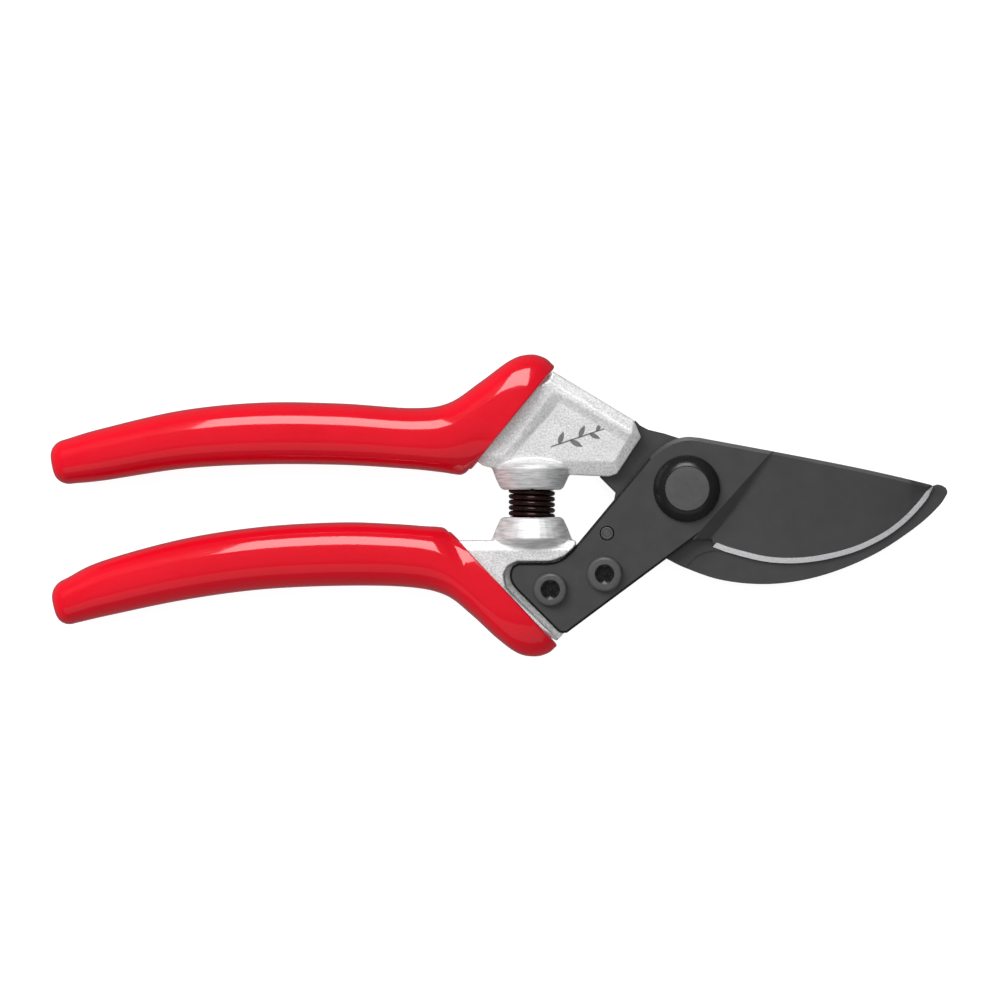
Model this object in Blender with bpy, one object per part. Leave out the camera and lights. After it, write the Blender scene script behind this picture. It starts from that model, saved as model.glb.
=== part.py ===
"""Bypass pruner: two gripped aluminium handles, a bolted cutting blade and a hooked counter-blade.

The tool lies on its back. +X runs along the closed jaws, +Y across the handles, +Z up through
the front face. The origin is on the pivot's axis, at the back end of the pivot bolt.
Sizes are in millimetres and become metres where the meshes are made.
"""
import math

import bmesh
import bpy
from mathutils import Matrix, Vector

MM = 0.001
GAP = 0.3             # clearance between pieces that touch
TIGHT = 0.15          # half of the clearance between the two blades

# Levels through the thickness, counted from the back end of the pivot bolt
GRIP_THICK = 17.0
GRIP_LIFT = 0.5       # back of the grips above the end of the pivot bolt
HEAD_SUNK_SHARE = 0.1941  # how far the aluminium heads lie below the grips' skin, of the grips' thickness
NUT_PROUD = 0.5       # bolt end past the nut
NUT_THICK = 3.4
WASHER_THICK = 0.8
COUNTER_THICK = 4.0
BLADE_THICK = 3.4
PIVOT_HEAD_THICK = 2.8

NUT_BACK = NUT_PROUD
WASHER_BACK = NUT_BACK + NUT_THICK + GAP
COUNTER_BACK = WASHER_BACK + WASHER_THICK + GAP
COUNTER_FRONT = COUNTER_BACK + COUNTER_THICK
BLADE_BACK = COUNTER_FRONT + 2 * TIGHT
BLADE_FRONT = BLADE_BACK + BLADE_THICK
PIVOT_HEAD_BACK = BLADE_FRONT + GAP
PIVOT_HEAD_FRONT = PIVOT_HEAD_BACK + PIVOT_HEAD_THICK
HANDLE_MID = GRIP_LIFT + GRIP_THICK / 2
HEAD_BACK = GRIP_LIFT + HEAD_SUNK_SHARE * GRIP_THICK
HEAD_FRONT = GRIP_LIFT + (1 - HEAD_SUNK_SHARE) * GRIP_THICK

# Pivot
PIVOT_R = 4.0
PIVOT_HEAD_RIM = 4.0  # head beyond the shank
PIVOT_DISC_RIM = 1.3  # flat middle of the head beyond the shank
PIVOT_CORNER = 0.5
BUSH_WALL = 1.0
WASHER_WALL = 3.1
NUT_WALL = 0.5        # steel left outside the nylon ring's seat
NUT_CORNER = 0.5
NUT_RING_WALL = 0.9
NUT_RING_THICK = 1.2

# Grips: sleeves dipped over the handles' tangs
GRIP_WALL = 1.5
GRIP_END_SHARE = 0.79  # thickness where the end starts to round off, as a share of the whole
GRIP_END_DOME = 3.9
GRIP_END_TAPER = 0.6
GRIP_SIDES = 20
GRIP_SQUARENESS = 2.5
SPLINE_STEPS = 2

# The tables below are drawn for these lengths past the two necks; the sizes with no DRAWN may change
GRIP_NECK_X = -60.0
DRAWN_GRIP_LENGTH = 92.5
GRIP_LENGTH = 92.5
JAW_NECK_X = 20.5
DRAWN_JAW_LENGTH = 42.4
JAW_LENGTH = 42.4

# Each row is one section of the grip: its upper edge, then its lower edge
UPPER_GRIP = [
    ((-149.6, 11.8), (-147.6, 1.2)),
    ((-140.8, 14.4), (-139.8, 2.0)),
    ((-121.6, 18.8), (-121.0, 4.8)),
    ((-102.4, 20.7), (-102.4, 5.8)),
    ((-83.2, 20.5), (-83.2, 5.7)),
    ((-66.0, 19.4), (-67.5, 4.8)),
    ((-57.2, 20.6), (-59.5, 4.0)),
    ((-49.6, 25.6), (-56.2, 3.5)),
    ((-42.3, 30.9), (-54.4, 3.3)),
    ((-37.6, 32.3), (-53.4, 3.6)),
    ((-34.0, 31.5), (-52.7, 4.1)),
    ((-31.8, 29.6), (-52.2, 4.7)),
]
LOWER_GRIP = [
    ((-149.6, -21.8), (-147.0, -32.4)),
    ((-140.8, -17.5), (-138.8, -30.5)),
    ((-121.6, -12.2), (-120.8, -26.8)),
    ((-102.4, -9.2), (-102.4, -24.3)),
    ((-83.2, -8.1), (-83.2, -23.4)),
    ((-70.0, -8.5), (-67.0, -23.7)),
    ((-63.0, -9.0), (-58.0, -25.6)),
    ((-60.5, -9.1), (-51.8, -30.2)),
    ((-59.3, -9.2), (-45.5, -36.0)),
    ((-58.6, -9.3), (-40.5, -39.6)),
    ((-58.1, -9.5), (-36.4, -40.4)),
    ((-57.6, -9.9), (-33.2, -39.6)),
    ((-57.2, -10.4), (-31.2, -38.0)),
]

# Upper head: outline counter-clockwise, each corner with the chamfer of the edge after it
UPPER_HEAD = [
    ((-53.5, 12.5), 2.4), ((-50.3, 6.6), 2.6), ((-49.0, 5.6), 2.8), ((-46.6, 5.0), 2.8),
    ((-27.3, 3.3), 2.8), ((-18.6, 2.9), 2.7), ((-16.7, 3.5), 2.5), ((-10.9, 12.3), 1.6),
    ((-12.6, 16.4), 2.6), ((-32.1, 28.2), 1.2), ((-33.2, 27.0), 1.2), ((-38.5, 24.5), 1.2),
]
CHAMFER_DROP = 1.5
# Sunk panel: each corner of its floor, and where the slope from that corner ends. Two sides climb to the
# head's face and two fall away past its edges
PANEL = [
    ((-42.5, 7.0), (-44.9, 6.9), "up"), ((-42.2, 7.0), (-42.5, 3.0), "down"), ((-17.4, 6.4), (-15.1, 2.4), "down"),
    ((-14.6, 11.2), (-11.1, 9.2), "down"), ((-14.9, 11.4), (-13.6, 13.3), "up"), ((-30.4, 20.8), (-32.1, 23.8), "up"),
]
PANEL_DEPTH = 0.9
PANEL_FALL = 1.9

# Lower head: in front of the blade's plane it ends at the blade pocket
LOWER_HEAD = [
    ((-54.6, -12.4), 1.6), ((-57.5, -16.3), 1.2), ((-39.0, -33.0), 1.0), ((-33.2, -35.4), 1.0),
    ((-31.0, -36.6), 1.0), ((-29.2, -34.6), 1.0),
    ((-20.0, -28.2), 1.0), ((-26.2, -14.4), 1.0), ((-26.6, -12.4), 2.2),
]
SHELF = [(-33.0, -34.0), (-29.2, -34.5), (-9.9, -20.7), (-9.2, -19.3), (-14.4, -17.0), (-24.5, -13.6),
         (-33.0, -20.0)]
EAR_R = 3.4
EAR_NECK = [(-22.9, -11.6), (-24.5, -20.0), (-14.0, -20.0), (-15.0, -11.6)]
# The pocket's wall round the blade's tang, then its open side past the head's free edges
POCKET_WALL = [
    (-25.6, -12.2), (-27.2, -14.2), (-29.4, -16.1), (-31.8, -17.1), (-33.6, -17.4), (-40.8, -17.4),
    (-43.0, -18.6), (-44.0, -20.6), (-43.5, -23.6), (-42.4, -25.0), (-32.6, -34.6), (-30.0, -37.4),
    (-20.0, -37.0), (-10.0, -12.0),
]

# Cutting blade: the tang and pivot eye are flat, the ground part runs from the grind line to the tip
BLADE_FLAT = [
    (1.4, -12.2), (20.5, 9.0), (3.2, 12.2), (-0.2, 12.4), (-3.6, 11.5), (-6.4, 9.7), (-8.8, 7.6),
    (-25.9, -13.0), (-27.6, -14.9), (-29.6, -16.7), (-31.6, -17.6), (-33.6, -17.9), (-40.4, -17.9),
    (-41.8, -18.8), (-42.4, -20.6), (-42.1, -22.4), (-40.9, -24.2), (-31.4, -33.7), (-30.3, -34.6),
    (-28.7, -34.6),
]
BLADE_EDGE = [(6.4, -14.0), (10.9, -15.6), (20.0, -17.7), (29.4, -17.7), (39.4, -15.6), (47.1, -12.2),
              (52.7, -8.2), (57.5, -3.1), (59.4, 0.3)]
BLADE_HEEL = (5.9, -12.5)
BLADE_SPINE = [(20.5, 9.0), (31.0, 7.0), (41.5, 4.9), (50.5, 2.9), (58.9, 0.9)]
GRIND_STEP = 0.35
EDGE_THICK = 0.4
TIP_RUN = 7.0         # height of the ground face over which the spine thins towards the tip

# Counter-blade
HOOK_OUTER = [(-4.8, -16.8), (-0.1, -19.1), (8.1, -21.9), (17.8, -23.0), (27.3, -22.2), (36.8, -19.6),
              (46.5, -15.2), (55.7, -9.0), (60.9, -4.2), (62.9, -1.3)]
HOOK_TIP = [(62.6, 0.2), (60.7, 1.0)]
HOOK_INNER = [(57.6, -0.9), (52.5, -4.6), (45.0, -8.9), (36.0, -12.0), (27.0, -13.2), (18.5, -12.6),
              (13.6, -10.2), (11.9, -6.4)]
EYE_R = 12.0
RIM_R = 15.5
COUNTER_TOP = [(-5.3, 13.3), (-9.1, 14.2), (-11.0, 15.2), (-12.2, 16.4)]
COUNTER_TANG = [(-15.5, 15.6), (-28.4, 23.2), (-31.6, 22.6), (-36.2, 14.4), (-34.8, 10.9),
                (-22.5, 6.2), (-20.5, 2.6), (-16.9, -1.0), (-17.4, -3.6)]

COUNTER_POCKET_MOUTH = [(-20.7, 2.0), (-13.0, -2.0), (-6.0, 14.0), (-12.4, 17.4)]
HEEL_FROM = 100.0     # the heel that stops the jaws is an arc round the pin, between these angles
HEEL_TO = 48.0

# Screws: the blade's from the front, the counter-blade's from the back
SCREW_R = 2.6
BLADE_SCREWS = {"blade_screw_rear": ((-32.7, -24.2), 4.0), "blade_screw_front": ((-19.7, -20.5), 4.2)}
COUNTER_SCREWS = {"counter_screw_rear": ((-30.2, 16.4), 4.0), "counter_screw_front": ((-19.6, 10.6), 4.0)}
BLADE_SCREW_HEAD = 1.5
COUNTER_SCREW_HEAD = 1.9
SCREW_END_WALL = 1.2
SCREW_HEAD_CORNER = 0.6
RECESS_R = 2.3
RECESS_DEPTH = 1.0
COUNTER_BORE_END = HEAD_FRONT - PANEL_DEPTH - SCREW_END_WALL

# Spring and its cups
SPRING_R = 5.6
WIRE = 1.15
SPRING_TURNS = 9.5
SPRING_STEPS = 14
WIRE_SIDES = 6
CUP_CLEARANCE = 0.5
CUP_DEPTH = 4.6
CUP_X = -37.1
UPPER_CUP_MOUTH = -0.3
LOWER_CUP_MOUTH = -6.8
# Boss outline from its mouth: distance along the axis, radius beyond the cup's
BOSS = [(0.0, 0.8), (0.5, 1.5), (2.8, 2.6), (5.2, 3.5), (6.2, 2.6), (7.0, 0.3), (7.6, -2.5)]
BOSS_THIN_WALL = 0.15  # the bosses are flatter through the tool than across it; this wall is left there

# Latch: a lever on the back, turning on a pin staked in the blade, hooks over a stud
PIN = (-19.1, -10.7)
PIN_R = 1.5
PIN_HEAD_R = 3.0
PIN_HEAD_THICK = 0.9
PIN_HEAD_CORNER = 0.4
PIN_PROUD = 0.1       # staked end past the blade's face
STUD_PROUD = 0.2      # stud past the lever's back
LEVER_THICK = 1.4
LEVER_HUB_R = 3.5
SPRING_WASHER_THICK = 0.4
STUD = (-16.0, 2.0)
STUD_R = 1.3
STUD_SHANK_R = 1.0
STUD_COVER = 0.8      # steel left in front of the stud's blind hole
LATCH_SWING = 14.0    # degrees between the open latch and the hooked one
LEVER_ARM = 3.4
HOOK_NECK = 1.7
TAIL_LENGTH = 11.5
TAIL_HALF = 2.5

SPRING_WASHER_FRONT = HEAD_BACK - GAP
LEVER_FRONT = SPRING_WASHER_FRONT - SPRING_WASHER_THICK - GAP
LEVER_BACK = LEVER_FRONT - LEVER_THICK
PIN_HEAD_FRONT = LEVER_BACK - GAP

ROUND = 32            # sides of the large round pieces
SMALL_ROUND = 20      # sides of screws and pins

RED = (0.68, 0.006, 0.016)
FORGED = (0.60, 0.61, 0.62)
BLACKED = (0.055, 0.056, 0.058)
SPRING_BLACK = (0.022, 0.010, 0.009)


def clear_scene():
    for item in list(bpy.data.objects):
        bpy.data.objects.remove(item, do_unlink=True)


def material(name, colour, roughness, metallic):
    mat = bpy.data.materials.new(name)
    mat.use_nodes = True
    shader = mat.node_tree.nodes["Principled BSDF"]
    shader.inputs["Base Color"].default_value = (*colour, 1.0)
    shader.inputs["Roughness"].default_value = roughness
    shader.inputs["Metallic"].default_value = metallic
    mat.diffuse_color = (*colour, 1.0)
    return mat


def place(name, bm, mat=None, parent=None):
    """Turn a mesh drawn in millimetres into an object in metres."""
    bmesh.ops.recalc_face_normals(bm, faces=bm.faces)
    bmesh.ops.scale(bm, vec=(MM, MM, MM), verts=bm.verts)
    mesh = bpy.data.meshes.new(name)
    bm.to_mesh(mesh)
    bm.free()
    mesh.shade_smooth()
    mesh.set_sharp_from_angle(angle=math.radians(35))
    obj = bpy.data.objects.new(name, mesh)
    bpy.context.scene.collection.objects.link(obj)
    if mat:
        mesh.materials.append(mat)
    obj.parent = parent
    return obj


def tool(obj):
    """Mark an object that only shapes others."""
    obj.hide_render = True
    obj.display_type = "WIRE"
    return obj


def combine(obj, other, operation):
    modifier = obj.modifiers.new(other.name, "BOOLEAN")
    modifier.operation = operation
    modifier.object = tool(other)


def curve_through(points, steps):
    """Points of a Catmull-Rom curve through the given ones."""
    pts = [Vector(p) for p in points]
    pts = [2 * pts[0] - pts[1]] + pts + [2 * pts[-1] - pts[-2]]
    out = []
    for a, b, c, d in zip(pts, pts[1:], pts[2:], pts[3:]):
        for k in range(steps):
            t = k / steps
            out.append(0.5 * (2 * b + (c - a) * t + (2 * a - 5 * b + 4 * c - d) * t**2
                              + (3 * b - a - 3 * c + d) * t**3))
    return out + [pts[-2]]


def arc(centre, radius, start, end, steps):
    """Points on a circle, from one angle to another in degrees."""
    angles = [math.radians(start + (end - start) * k / steps) for k in range(steps + 1)]
    return [Vector((centre[0] + radius * math.cos(a), centre[1] + radius * math.sin(a))) for a in angles]


def inset(outline, widths):
    """Move each edge of a counter-clockwise outline inwards by its own width."""
    pts = [Vector(p) for p in outline]
    n = len(pts)
    out = []
    for k in range(n):
        before = (pts[k] - pts[k - 1]).normalized()
        after = (pts[(k + 1) % n] - pts[k]).normalized()
        w0, w1 = widths[k - 1], widths[k]
        turn = before.x * after.y - before.y * after.x
        normal = Vector((-before.y, before.x))
        if abs(turn) < 0.05:
            out.append(pts[k] + normal * (w0 + w1) / 2)
        else:
            out.append(pts[k] + (after * w0 - before * w1) / turn)
    return out


def rings_mesh(rings):
    """A closed skin over rings with equal counts, with a face across each end."""
    bm = bmesh.new()
    loops = [[bm.verts.new(p) for p in ring] for ring in rings]
    for low, high in zip(loops, loops[1:]):
        for k in range(len(low)):
            bm.faces.new((low[k - 1], low[k], high[k], high[k - 1]))
    bm.faces.new(loops[0])
    bm.faces.new(loops[-1])
    return bm


def level(outline, z):
    return [Vector((p[0], p[1], z)) for p in outline]


def slab(outline, low, high):
    return rings_mesh([level(outline, low), level(outline, high)])


def turned(profile, sides, axis=(0.0, 0.0)):
    """A solid of revolution about a line along Z; the profile gives height and radius."""
    rings = []
    for z, radius in profile:
        turn = arc(axis, radius, 0, 360, sides)[:-1]
        rings.append(level(turn, z))
    return rings_mesh(rings)


def cylinder(axis, radius, low, high, sides=SMALL_ROUND):
    return turned([(low, radius), (high, radius)], sides, axis)


def ring_solid(outer, inner, low, high, sides, axis=(0.0, 0.0)):
    """A flat ring: an outer and an inner wall joined across both ends."""
    bm = bmesh.new()
    walls = []
    for radius, z in ((outer, low), (outer, high), (inner, high), (inner, low)):
        walls.append([bm.verts.new(p) for p in level(arc(axis, radius, 0, 360, sides)[:-1], z)])
    for here, there in zip(walls, walls[1:] + walls[:1]):
        for k in range(sides):
            bm.faces.new((here[k - 1], here[k], there[k], there[k - 1]))
    return bm


def grip_section(top, bottom, thick, inward):
    """One superellipse section between two edge points, set inwards from the grip's skin."""
    top, bottom = Vector(top), Vector(bottom)
    middle = (top + bottom) / 2
    across = (top - bottom).normalized()
    half_wide = (top - bottom).length / 2 - inward
    half_thick = thick / 2 - inward
    ring = []
    for k in range(GRIP_SIDES):
        a = 2 * math.pi * (k + 0.5) / GRIP_SIDES
        u = math.copysign(abs(math.cos(a)) ** (2 / GRIP_SQUARENESS), math.cos(a)) * half_wide
        w = math.copysign(abs(math.sin(a)) ** (2 / GRIP_SQUARENESS), math.sin(a)) * half_thick
        point = middle + across * u
        ring.append(Vector((point.x, point.y, HANDLE_MID + w)))
    return ring


def stretched(points, neck, share):
    """Move the points past a neck along X, so that what lies past it gets longer or shorter."""
    return [(neck + (x - neck) * share, y) if x / neck > 1 else (x, y) for x, y in points]


def grip_rings(edges, inward):
    """Sections from the rounded end to the mouth, set inwards from the grip's skin."""
    share = GRIP_LENGTH / DRAWN_GRIP_LENGTH
    tops = curve_through(stretched([row[0] for row in edges], GRIP_NECK_X, share), SPLINE_STEPS)
    bottoms = curve_through(stretched([row[1] for row in edges], GRIP_NECK_X, share), SPLINE_STEPS)
    run_in = 3 * SPLINE_STEPS
    rings = []
    for k, (top, bottom) in enumerate(zip(tops, bottoms)):
        swell = math.sin(math.pi / 2 * min(1.0, k / run_in))
        thick = GRIP_THICK * (GRIP_END_SHARE + (1 - GRIP_END_SHARE) * swell)
        rings.append(grip_section(top, bottom, thick, inward))
    return rings


def dome(ring, outward, height):
    """Shrinking copies of an end ring that round it off, smallest first."""
    centre = sum(ring, Vector()) / len(ring)
    out = []
    for turn in (80, 55, 28):
        a = math.radians(turn)
        shrink = 1 - (1 - math.cos(a)) * GRIP_END_TAPER
        shift = outward * height * math.sin(a)
        out.append([centre + (p - centre) * shrink + shift for p in ring])
    return out


def end_direction(edges):
    """Unit vector out of the grip's closed end."""
    first = (Vector(edges[0][0]) + Vector(edges[0][1])) / 2
    second = (Vector(edges[1][0]) + Vector(edges[1][1])) / 2
    return (first - second).normalized().to_3d()


def grip(name, edges, parent=None):
    """Sleeve with one closed end; its wall is even all round."""
    outward = end_direction(edges)
    outer = grip_rings(edges, 0.0)
    inner = grip_rings(edges, GRIP_WALL)[1:]
    skin = dome(outer[0], outward, GRIP_END_DOME) + outer + inner[::-1]
    return place(name, rings_mesh(skin), material(name, RED, 0.22, 0.0), parent)


def tang(name, edges, parent=None):
    """The part of an aluminium handle that the sleeve covers."""
    rings = grip_rings(edges, GRIP_WALL + GAP)[2:]
    return tool(place(name, rings_mesh(rings), parent=parent))


def head(name, corners, mat, parent=None):
    """The thick plate in front of a grip, with its own chamfer along each front and back edge."""
    outline = [c[0] for c in corners]
    widths = [c[1] for c in corners]
    small = inset(outline, widths)
    rings = [
        level(small, HEAD_BACK),
        level(outline, HEAD_BACK + CHAMFER_DROP),
        level(outline, HEAD_FRONT - CHAMFER_DROP),
        level(small, HEAD_FRONT),
    ]
    return place(name, rings_mesh(rings), mat, parent)


def boss(name, mouth, direction, parent=None):
    """Spring seat: a turned boss on an axis along Y, at the handles' middle plane."""
    cup_r = SPRING_R + CUP_CLEARANCE
    bm = turned([(along, cup_r + wall) for along, wall in BOSS], ROUND)
    flatten = (cup_r + BOSS_THIN_WALL) / (cup_r + BOSS[0][1])
    bmesh.ops.scale(bm, vec=(1, flatten, 1), verts=bm.verts)
    bmesh.ops.rotate(bm, matrix=Matrix.Rotation(-direction * math.pi / 2, 3, "X"), verts=bm.verts)
    bmesh.ops.translate(bm, vec=(CUP_X, mouth, HANDLE_MID), verts=bm.verts)
    return tool(place(name, bm, parent=parent))


def cup(name, mouth, direction, parent=None):
    """Cutter for the socket that holds one end of the spring."""
    radius = SPRING_R + CUP_CLEARANCE
    bm = turned([(-1.0, radius), (CUP_DEPTH, radius)], ROUND)
    bmesh.ops.rotate(bm, matrix=Matrix.Rotation(-direction * math.pi / 2, 3, "X"), verts=bm.verts)
    bmesh.ops.translate(bm, vec=(CUP_X, mouth, HANDLE_MID), verts=bm.verts)
    return tool(place(name, bm, parent=parent))


def hole(obj, name, axis, radius, low, high, parent=None):
    combine(obj, place(name, cylinder(axis, radius, low, high), parent=parent), "DIFFERENCE")


def upper_frame(parent):
    """Forged upper handle: tang, head with a sunk panel, spring seat and counter-blade pocket."""
    mat = material("upper_frame", FORGED, 0.42, 1.0)
    frame = head("upper_frame", UPPER_HEAD, mat, parent)
    floor = HEAD_FRONT - PANEL_DEPTH
    slope_end = {"up": HEAD_FRONT + TIGHT, "down": floor - PANEL_FALL}
    panel = rings_mesh([level([row[0] for row in PANEL], floor),
                        [Vector((*row[1], slope_end[row[2]])) for row in PANEL],
                        level([row[1] for row in PANEL], HEAD_FRONT + 1)])
    combine(frame, place("panel_cut", panel, parent=parent), "DIFFERENCE")
    combine(frame, tang("upper_tang", UPPER_GRIP, parent), "UNION")
    combine(frame, boss("upper_boss", UPPER_CUP_MOUTH, 1, parent), "UNION")
    combine(frame, cup("upper_cup", UPPER_CUP_MOUTH, 1, parent), "DIFFERENCE")
    pocket = place("counter_pocket", slab(pocket_outline(), HEAD_BACK - 1, COUNTER_FRONT + GAP), parent=parent)
    combine(frame, pocket, "DIFFERENCE")
    for name, (spot, _) in COUNTER_SCREWS.items():
        hole(frame, name + "_bore", spot, SCREW_R + GAP, COUNTER_BACK, COUNTER_BORE_END, parent)


def pocket_outline():
    """The counter-blade's tang with its clearance, open at the jaw end of the head."""
    tang_part = COUNTER_TOP[-1:] + COUNTER_TANG[:-2]
    wide = inset(tang_part, [-GAP] * len(tang_part))
    return wide[1:-1] + [Vector(p) for p in COUNTER_POCKET_MOUTH]


def lower_frame():
    """Forged lower handle: tang, head, spring seat, and a shelf and ear behind the cutting blade."""
    mat = material("lower_frame", FORGED, 0.42, 1.0)
    frame = head("lower_frame", LOWER_HEAD, mat)
    combine(frame, tang("lower_tang", LOWER_GRIP), "UNION")
    combine(frame, boss("lower_boss", LOWER_CUP_MOUTH, -1), "UNION")
    combine(frame, cup("lower_cup", LOWER_CUP_MOUTH, -1), "DIFFERENCE")
    shelf_top = BLADE_BACK - GAP
    combine(frame, place("shelf", slab(SHELF, HEAD_BACK, shelf_top)), "UNION")
    combine(frame, place("ear_neck", slab(EAR_NECK, HEAD_BACK, shelf_top)), "UNION")
    combine(frame, place("ear", cylinder(PIN, EAR_R, HEAD_BACK, shelf_top)), "UNION")
    combine(frame, place("blade_pocket", slab(POCKET_WALL, shelf_top, HEAD_FRONT + 1)), "DIFFERENCE")
    for name, (spot, _) in BLADE_SCREWS.items():
        hole(frame, name + "_bore", spot, SCREW_R + GAP, HEAD_BACK + SCREW_END_WALL, BLADE_BACK)
    hole(frame, "lock_pin_bore", PIN, PIN_R + GAP, HEAD_BACK - 1, BLADE_BACK)


def cutting_blade():
    """Blade plate: flat tang and eye, a hollow face falling to the edge, holes for its fixings."""
    bm = bmesh.new()
    share = JAW_LENGTH / DRAWN_JAW_LENGTH
    lower = [Vector(BLADE_FLAT[0]), Vector(BLADE_HEEL)] + curve_through(stretched(BLADE_EDGE, JAW_NECK_X, share), 2)
    spine = curve_through(stretched(BLADE_SPINE, JAW_NECK_X, share), 4)
    count = len(lower)
    upper = [spine[0]]
    for k in range(1, count):
        at = (k / (count - 1)) * (len(spine) - 1)
        low = min(int(at), len(spine) - 2)
        upper.append(spine[low].lerp(spine[low + 1], at - low))
    flat = [Vector(p) for p in BLADE_FLAT]
    face = BLADE_FRONT - GRIND_STEP
    edge = BLADE_BACK + EDGE_THICK

    flat_low = [bm.verts.new(v) for v in level(flat, BLADE_BACK)]
    flat_top = [bm.verts.new(v) for v in level(flat, BLADE_FRONT)]
    lower_low = [flat_low[0]] + [bm.verts.new(v) for v in level(lower[1:], BLADE_BACK)]
    lower_top = [bm.verts.new(v) for v in level(lower, edge)]
    heights = [edge + (face - edge) * min(1.0, (high - low).length / TIP_RUN) for high, low in zip(upper, lower)]
    upper_low = [flat_low[1]] + [bm.verts.new(v) for v in level(upper[1:], BLADE_BACK)]
    upper_top = [bm.verts.new((p.x, p.y, z)) for p, z in zip(upper, heights)]

    bm.faces.new(flat_top)
    bm.faces.new(flat_low)
    for k in range(2, len(flat) - 1):
        bm.faces.new((flat_low[k], flat_low[k + 1], flat_top[k + 1], flat_top[k]))
    bm.faces.new((flat_low[1], flat_low[2], flat_top[2], flat_top[1], upper_top[0]))
    bm.faces.new((flat_low[-1], flat_low[0], lower_top[0], flat_top[0], flat_top[-1]))
    bm.faces.new((flat_top[0], lower_top[0], upper_top[0], flat_top[1]))
    for k in range(count - 1):
        bm.faces.new((lower_top[k], lower_top[k + 1], upper_top[k + 1], upper_top[k]))
        bm.faces.new((lower_low[k], lower_low[k + 1], upper_low[k + 1], upper_low[k]))
        bm.faces.new((lower_low[k], lower_low[k + 1], lower_top[k + 1], lower_top[k]))
        bm.faces.new((upper_low[k], upper_low[k + 1], upper_top[k + 1], upper_top[k]))
    bm.faces.new((lower_low[-1], upper_low[-1], upper_top[-1], lower_top[-1]))

    blade = place("cutting_blade", bm, material("cutting_blade", BLACKED, 0.38, 0.85))
    hole(blade, "blade_eye", (0, 0), PIVOT_R + GAP, BLADE_BACK - 1, BLADE_FRONT + 1)
    for name, (spot, _) in BLADE_SCREWS.items():
        hole(blade, name + "_hole", spot, SCREW_R + GAP, BLADE_BACK - 1, BLADE_FRONT + 1)
    hole(blade, "lock_pin_hole", PIN, PIN_R + GAP, BLADE_BACK - 1, BLADE_FRONT + 1)


def counter_outline():
    """Hook, pivot eye, tang and heel of the counter-blade, counter-clockwise."""
    heel = arc(PIN, EAR_R + GAP, HEEL_FROM, HEEL_TO, 4)
    rim_start = math.degrees(math.atan2(heel[-1].y, heel[-1].x)) % 360 + 2
    rim = arc((0, 0), RIM_R, rim_start, 250, 8)
    eye = arc((0, 0), EYE_R, -22, 95, 12)
    hook = curve_through(HOOK_OUTER, 2) + [Vector(p) for p in HOOK_TIP] + curve_through(HOOK_INNER, 2)
    points = stretched(hook, JAW_NECK_X, JAW_LENGTH / DRAWN_JAW_LENGTH) + eye
    return [Vector(p) for p in points + COUNTER_TOP + COUNTER_TANG] + heel + rim


def counter_blade(parent):
    """Hooked plate that the cut branch lies in; its tang sits in the upper handle's pocket."""
    blade = place("counter_blade", slab(counter_outline(), COUNTER_BACK, COUNTER_FRONT),
                  material("counter_blade", BLACKED, 0.42, 0.85), parent)
    eye_r = PIVOT_R + GAP + BUSH_WALL + GAP
    hole(blade, "counter_eye", (0, 0), eye_r, COUNTER_BACK - 1, COUNTER_FRONT + 1, parent)
    for name, (spot, _) in COUNTER_SCREWS.items():
        hole(blade, name + "_hole", spot, SCREW_R + GAP, COUNTER_BACK - 1, COUNTER_FRONT + 1, parent)
    hole(blade, "stud_hole", STUD, STUD_SHANK_R + GAP, COUNTER_BACK - 1, COUNTER_FRONT - STUD_COVER, parent)


def screw(name, spot, head_r, seat, head_tip, end, parent=None):
    """Button-head screw on a line along Z, with a round driver recess; the head is past its seat."""
    way = 1 if head_tip > seat else -1
    edge = head_tip - way * SCREW_HEAD_CORNER
    floor = head_tip - way * RECESS_DEPTH
    profile = [(end, SCREW_R), (seat, SCREW_R), (seat, head_r), (edge, head_r), (head_tip, head_r - SCREW_HEAD_CORNER),
               (head_tip, RECESS_R), (floor, RECESS_R)]
    place(name, turned(profile, SMALL_ROUND, spot), material(name, BLACKED, 0.35, 0.9), parent)


def screws(parent):
    for name, (spot, head_r) in BLADE_SCREWS.items():
        seat = BLADE_FRONT + GAP
        screw(name, spot, head_r, seat, seat + BLADE_SCREW_HEAD, HEAD_BACK + SCREW_END_WALL + GAP)
    for name, (spot, head_r) in COUNTER_SCREWS.items():
        seat = COUNTER_BACK - GAP
        end = COUNTER_BORE_END - GAP
        screw(name, spot, head_r, seat, seat - COUNTER_SCREW_HEAD, end, parent)


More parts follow.
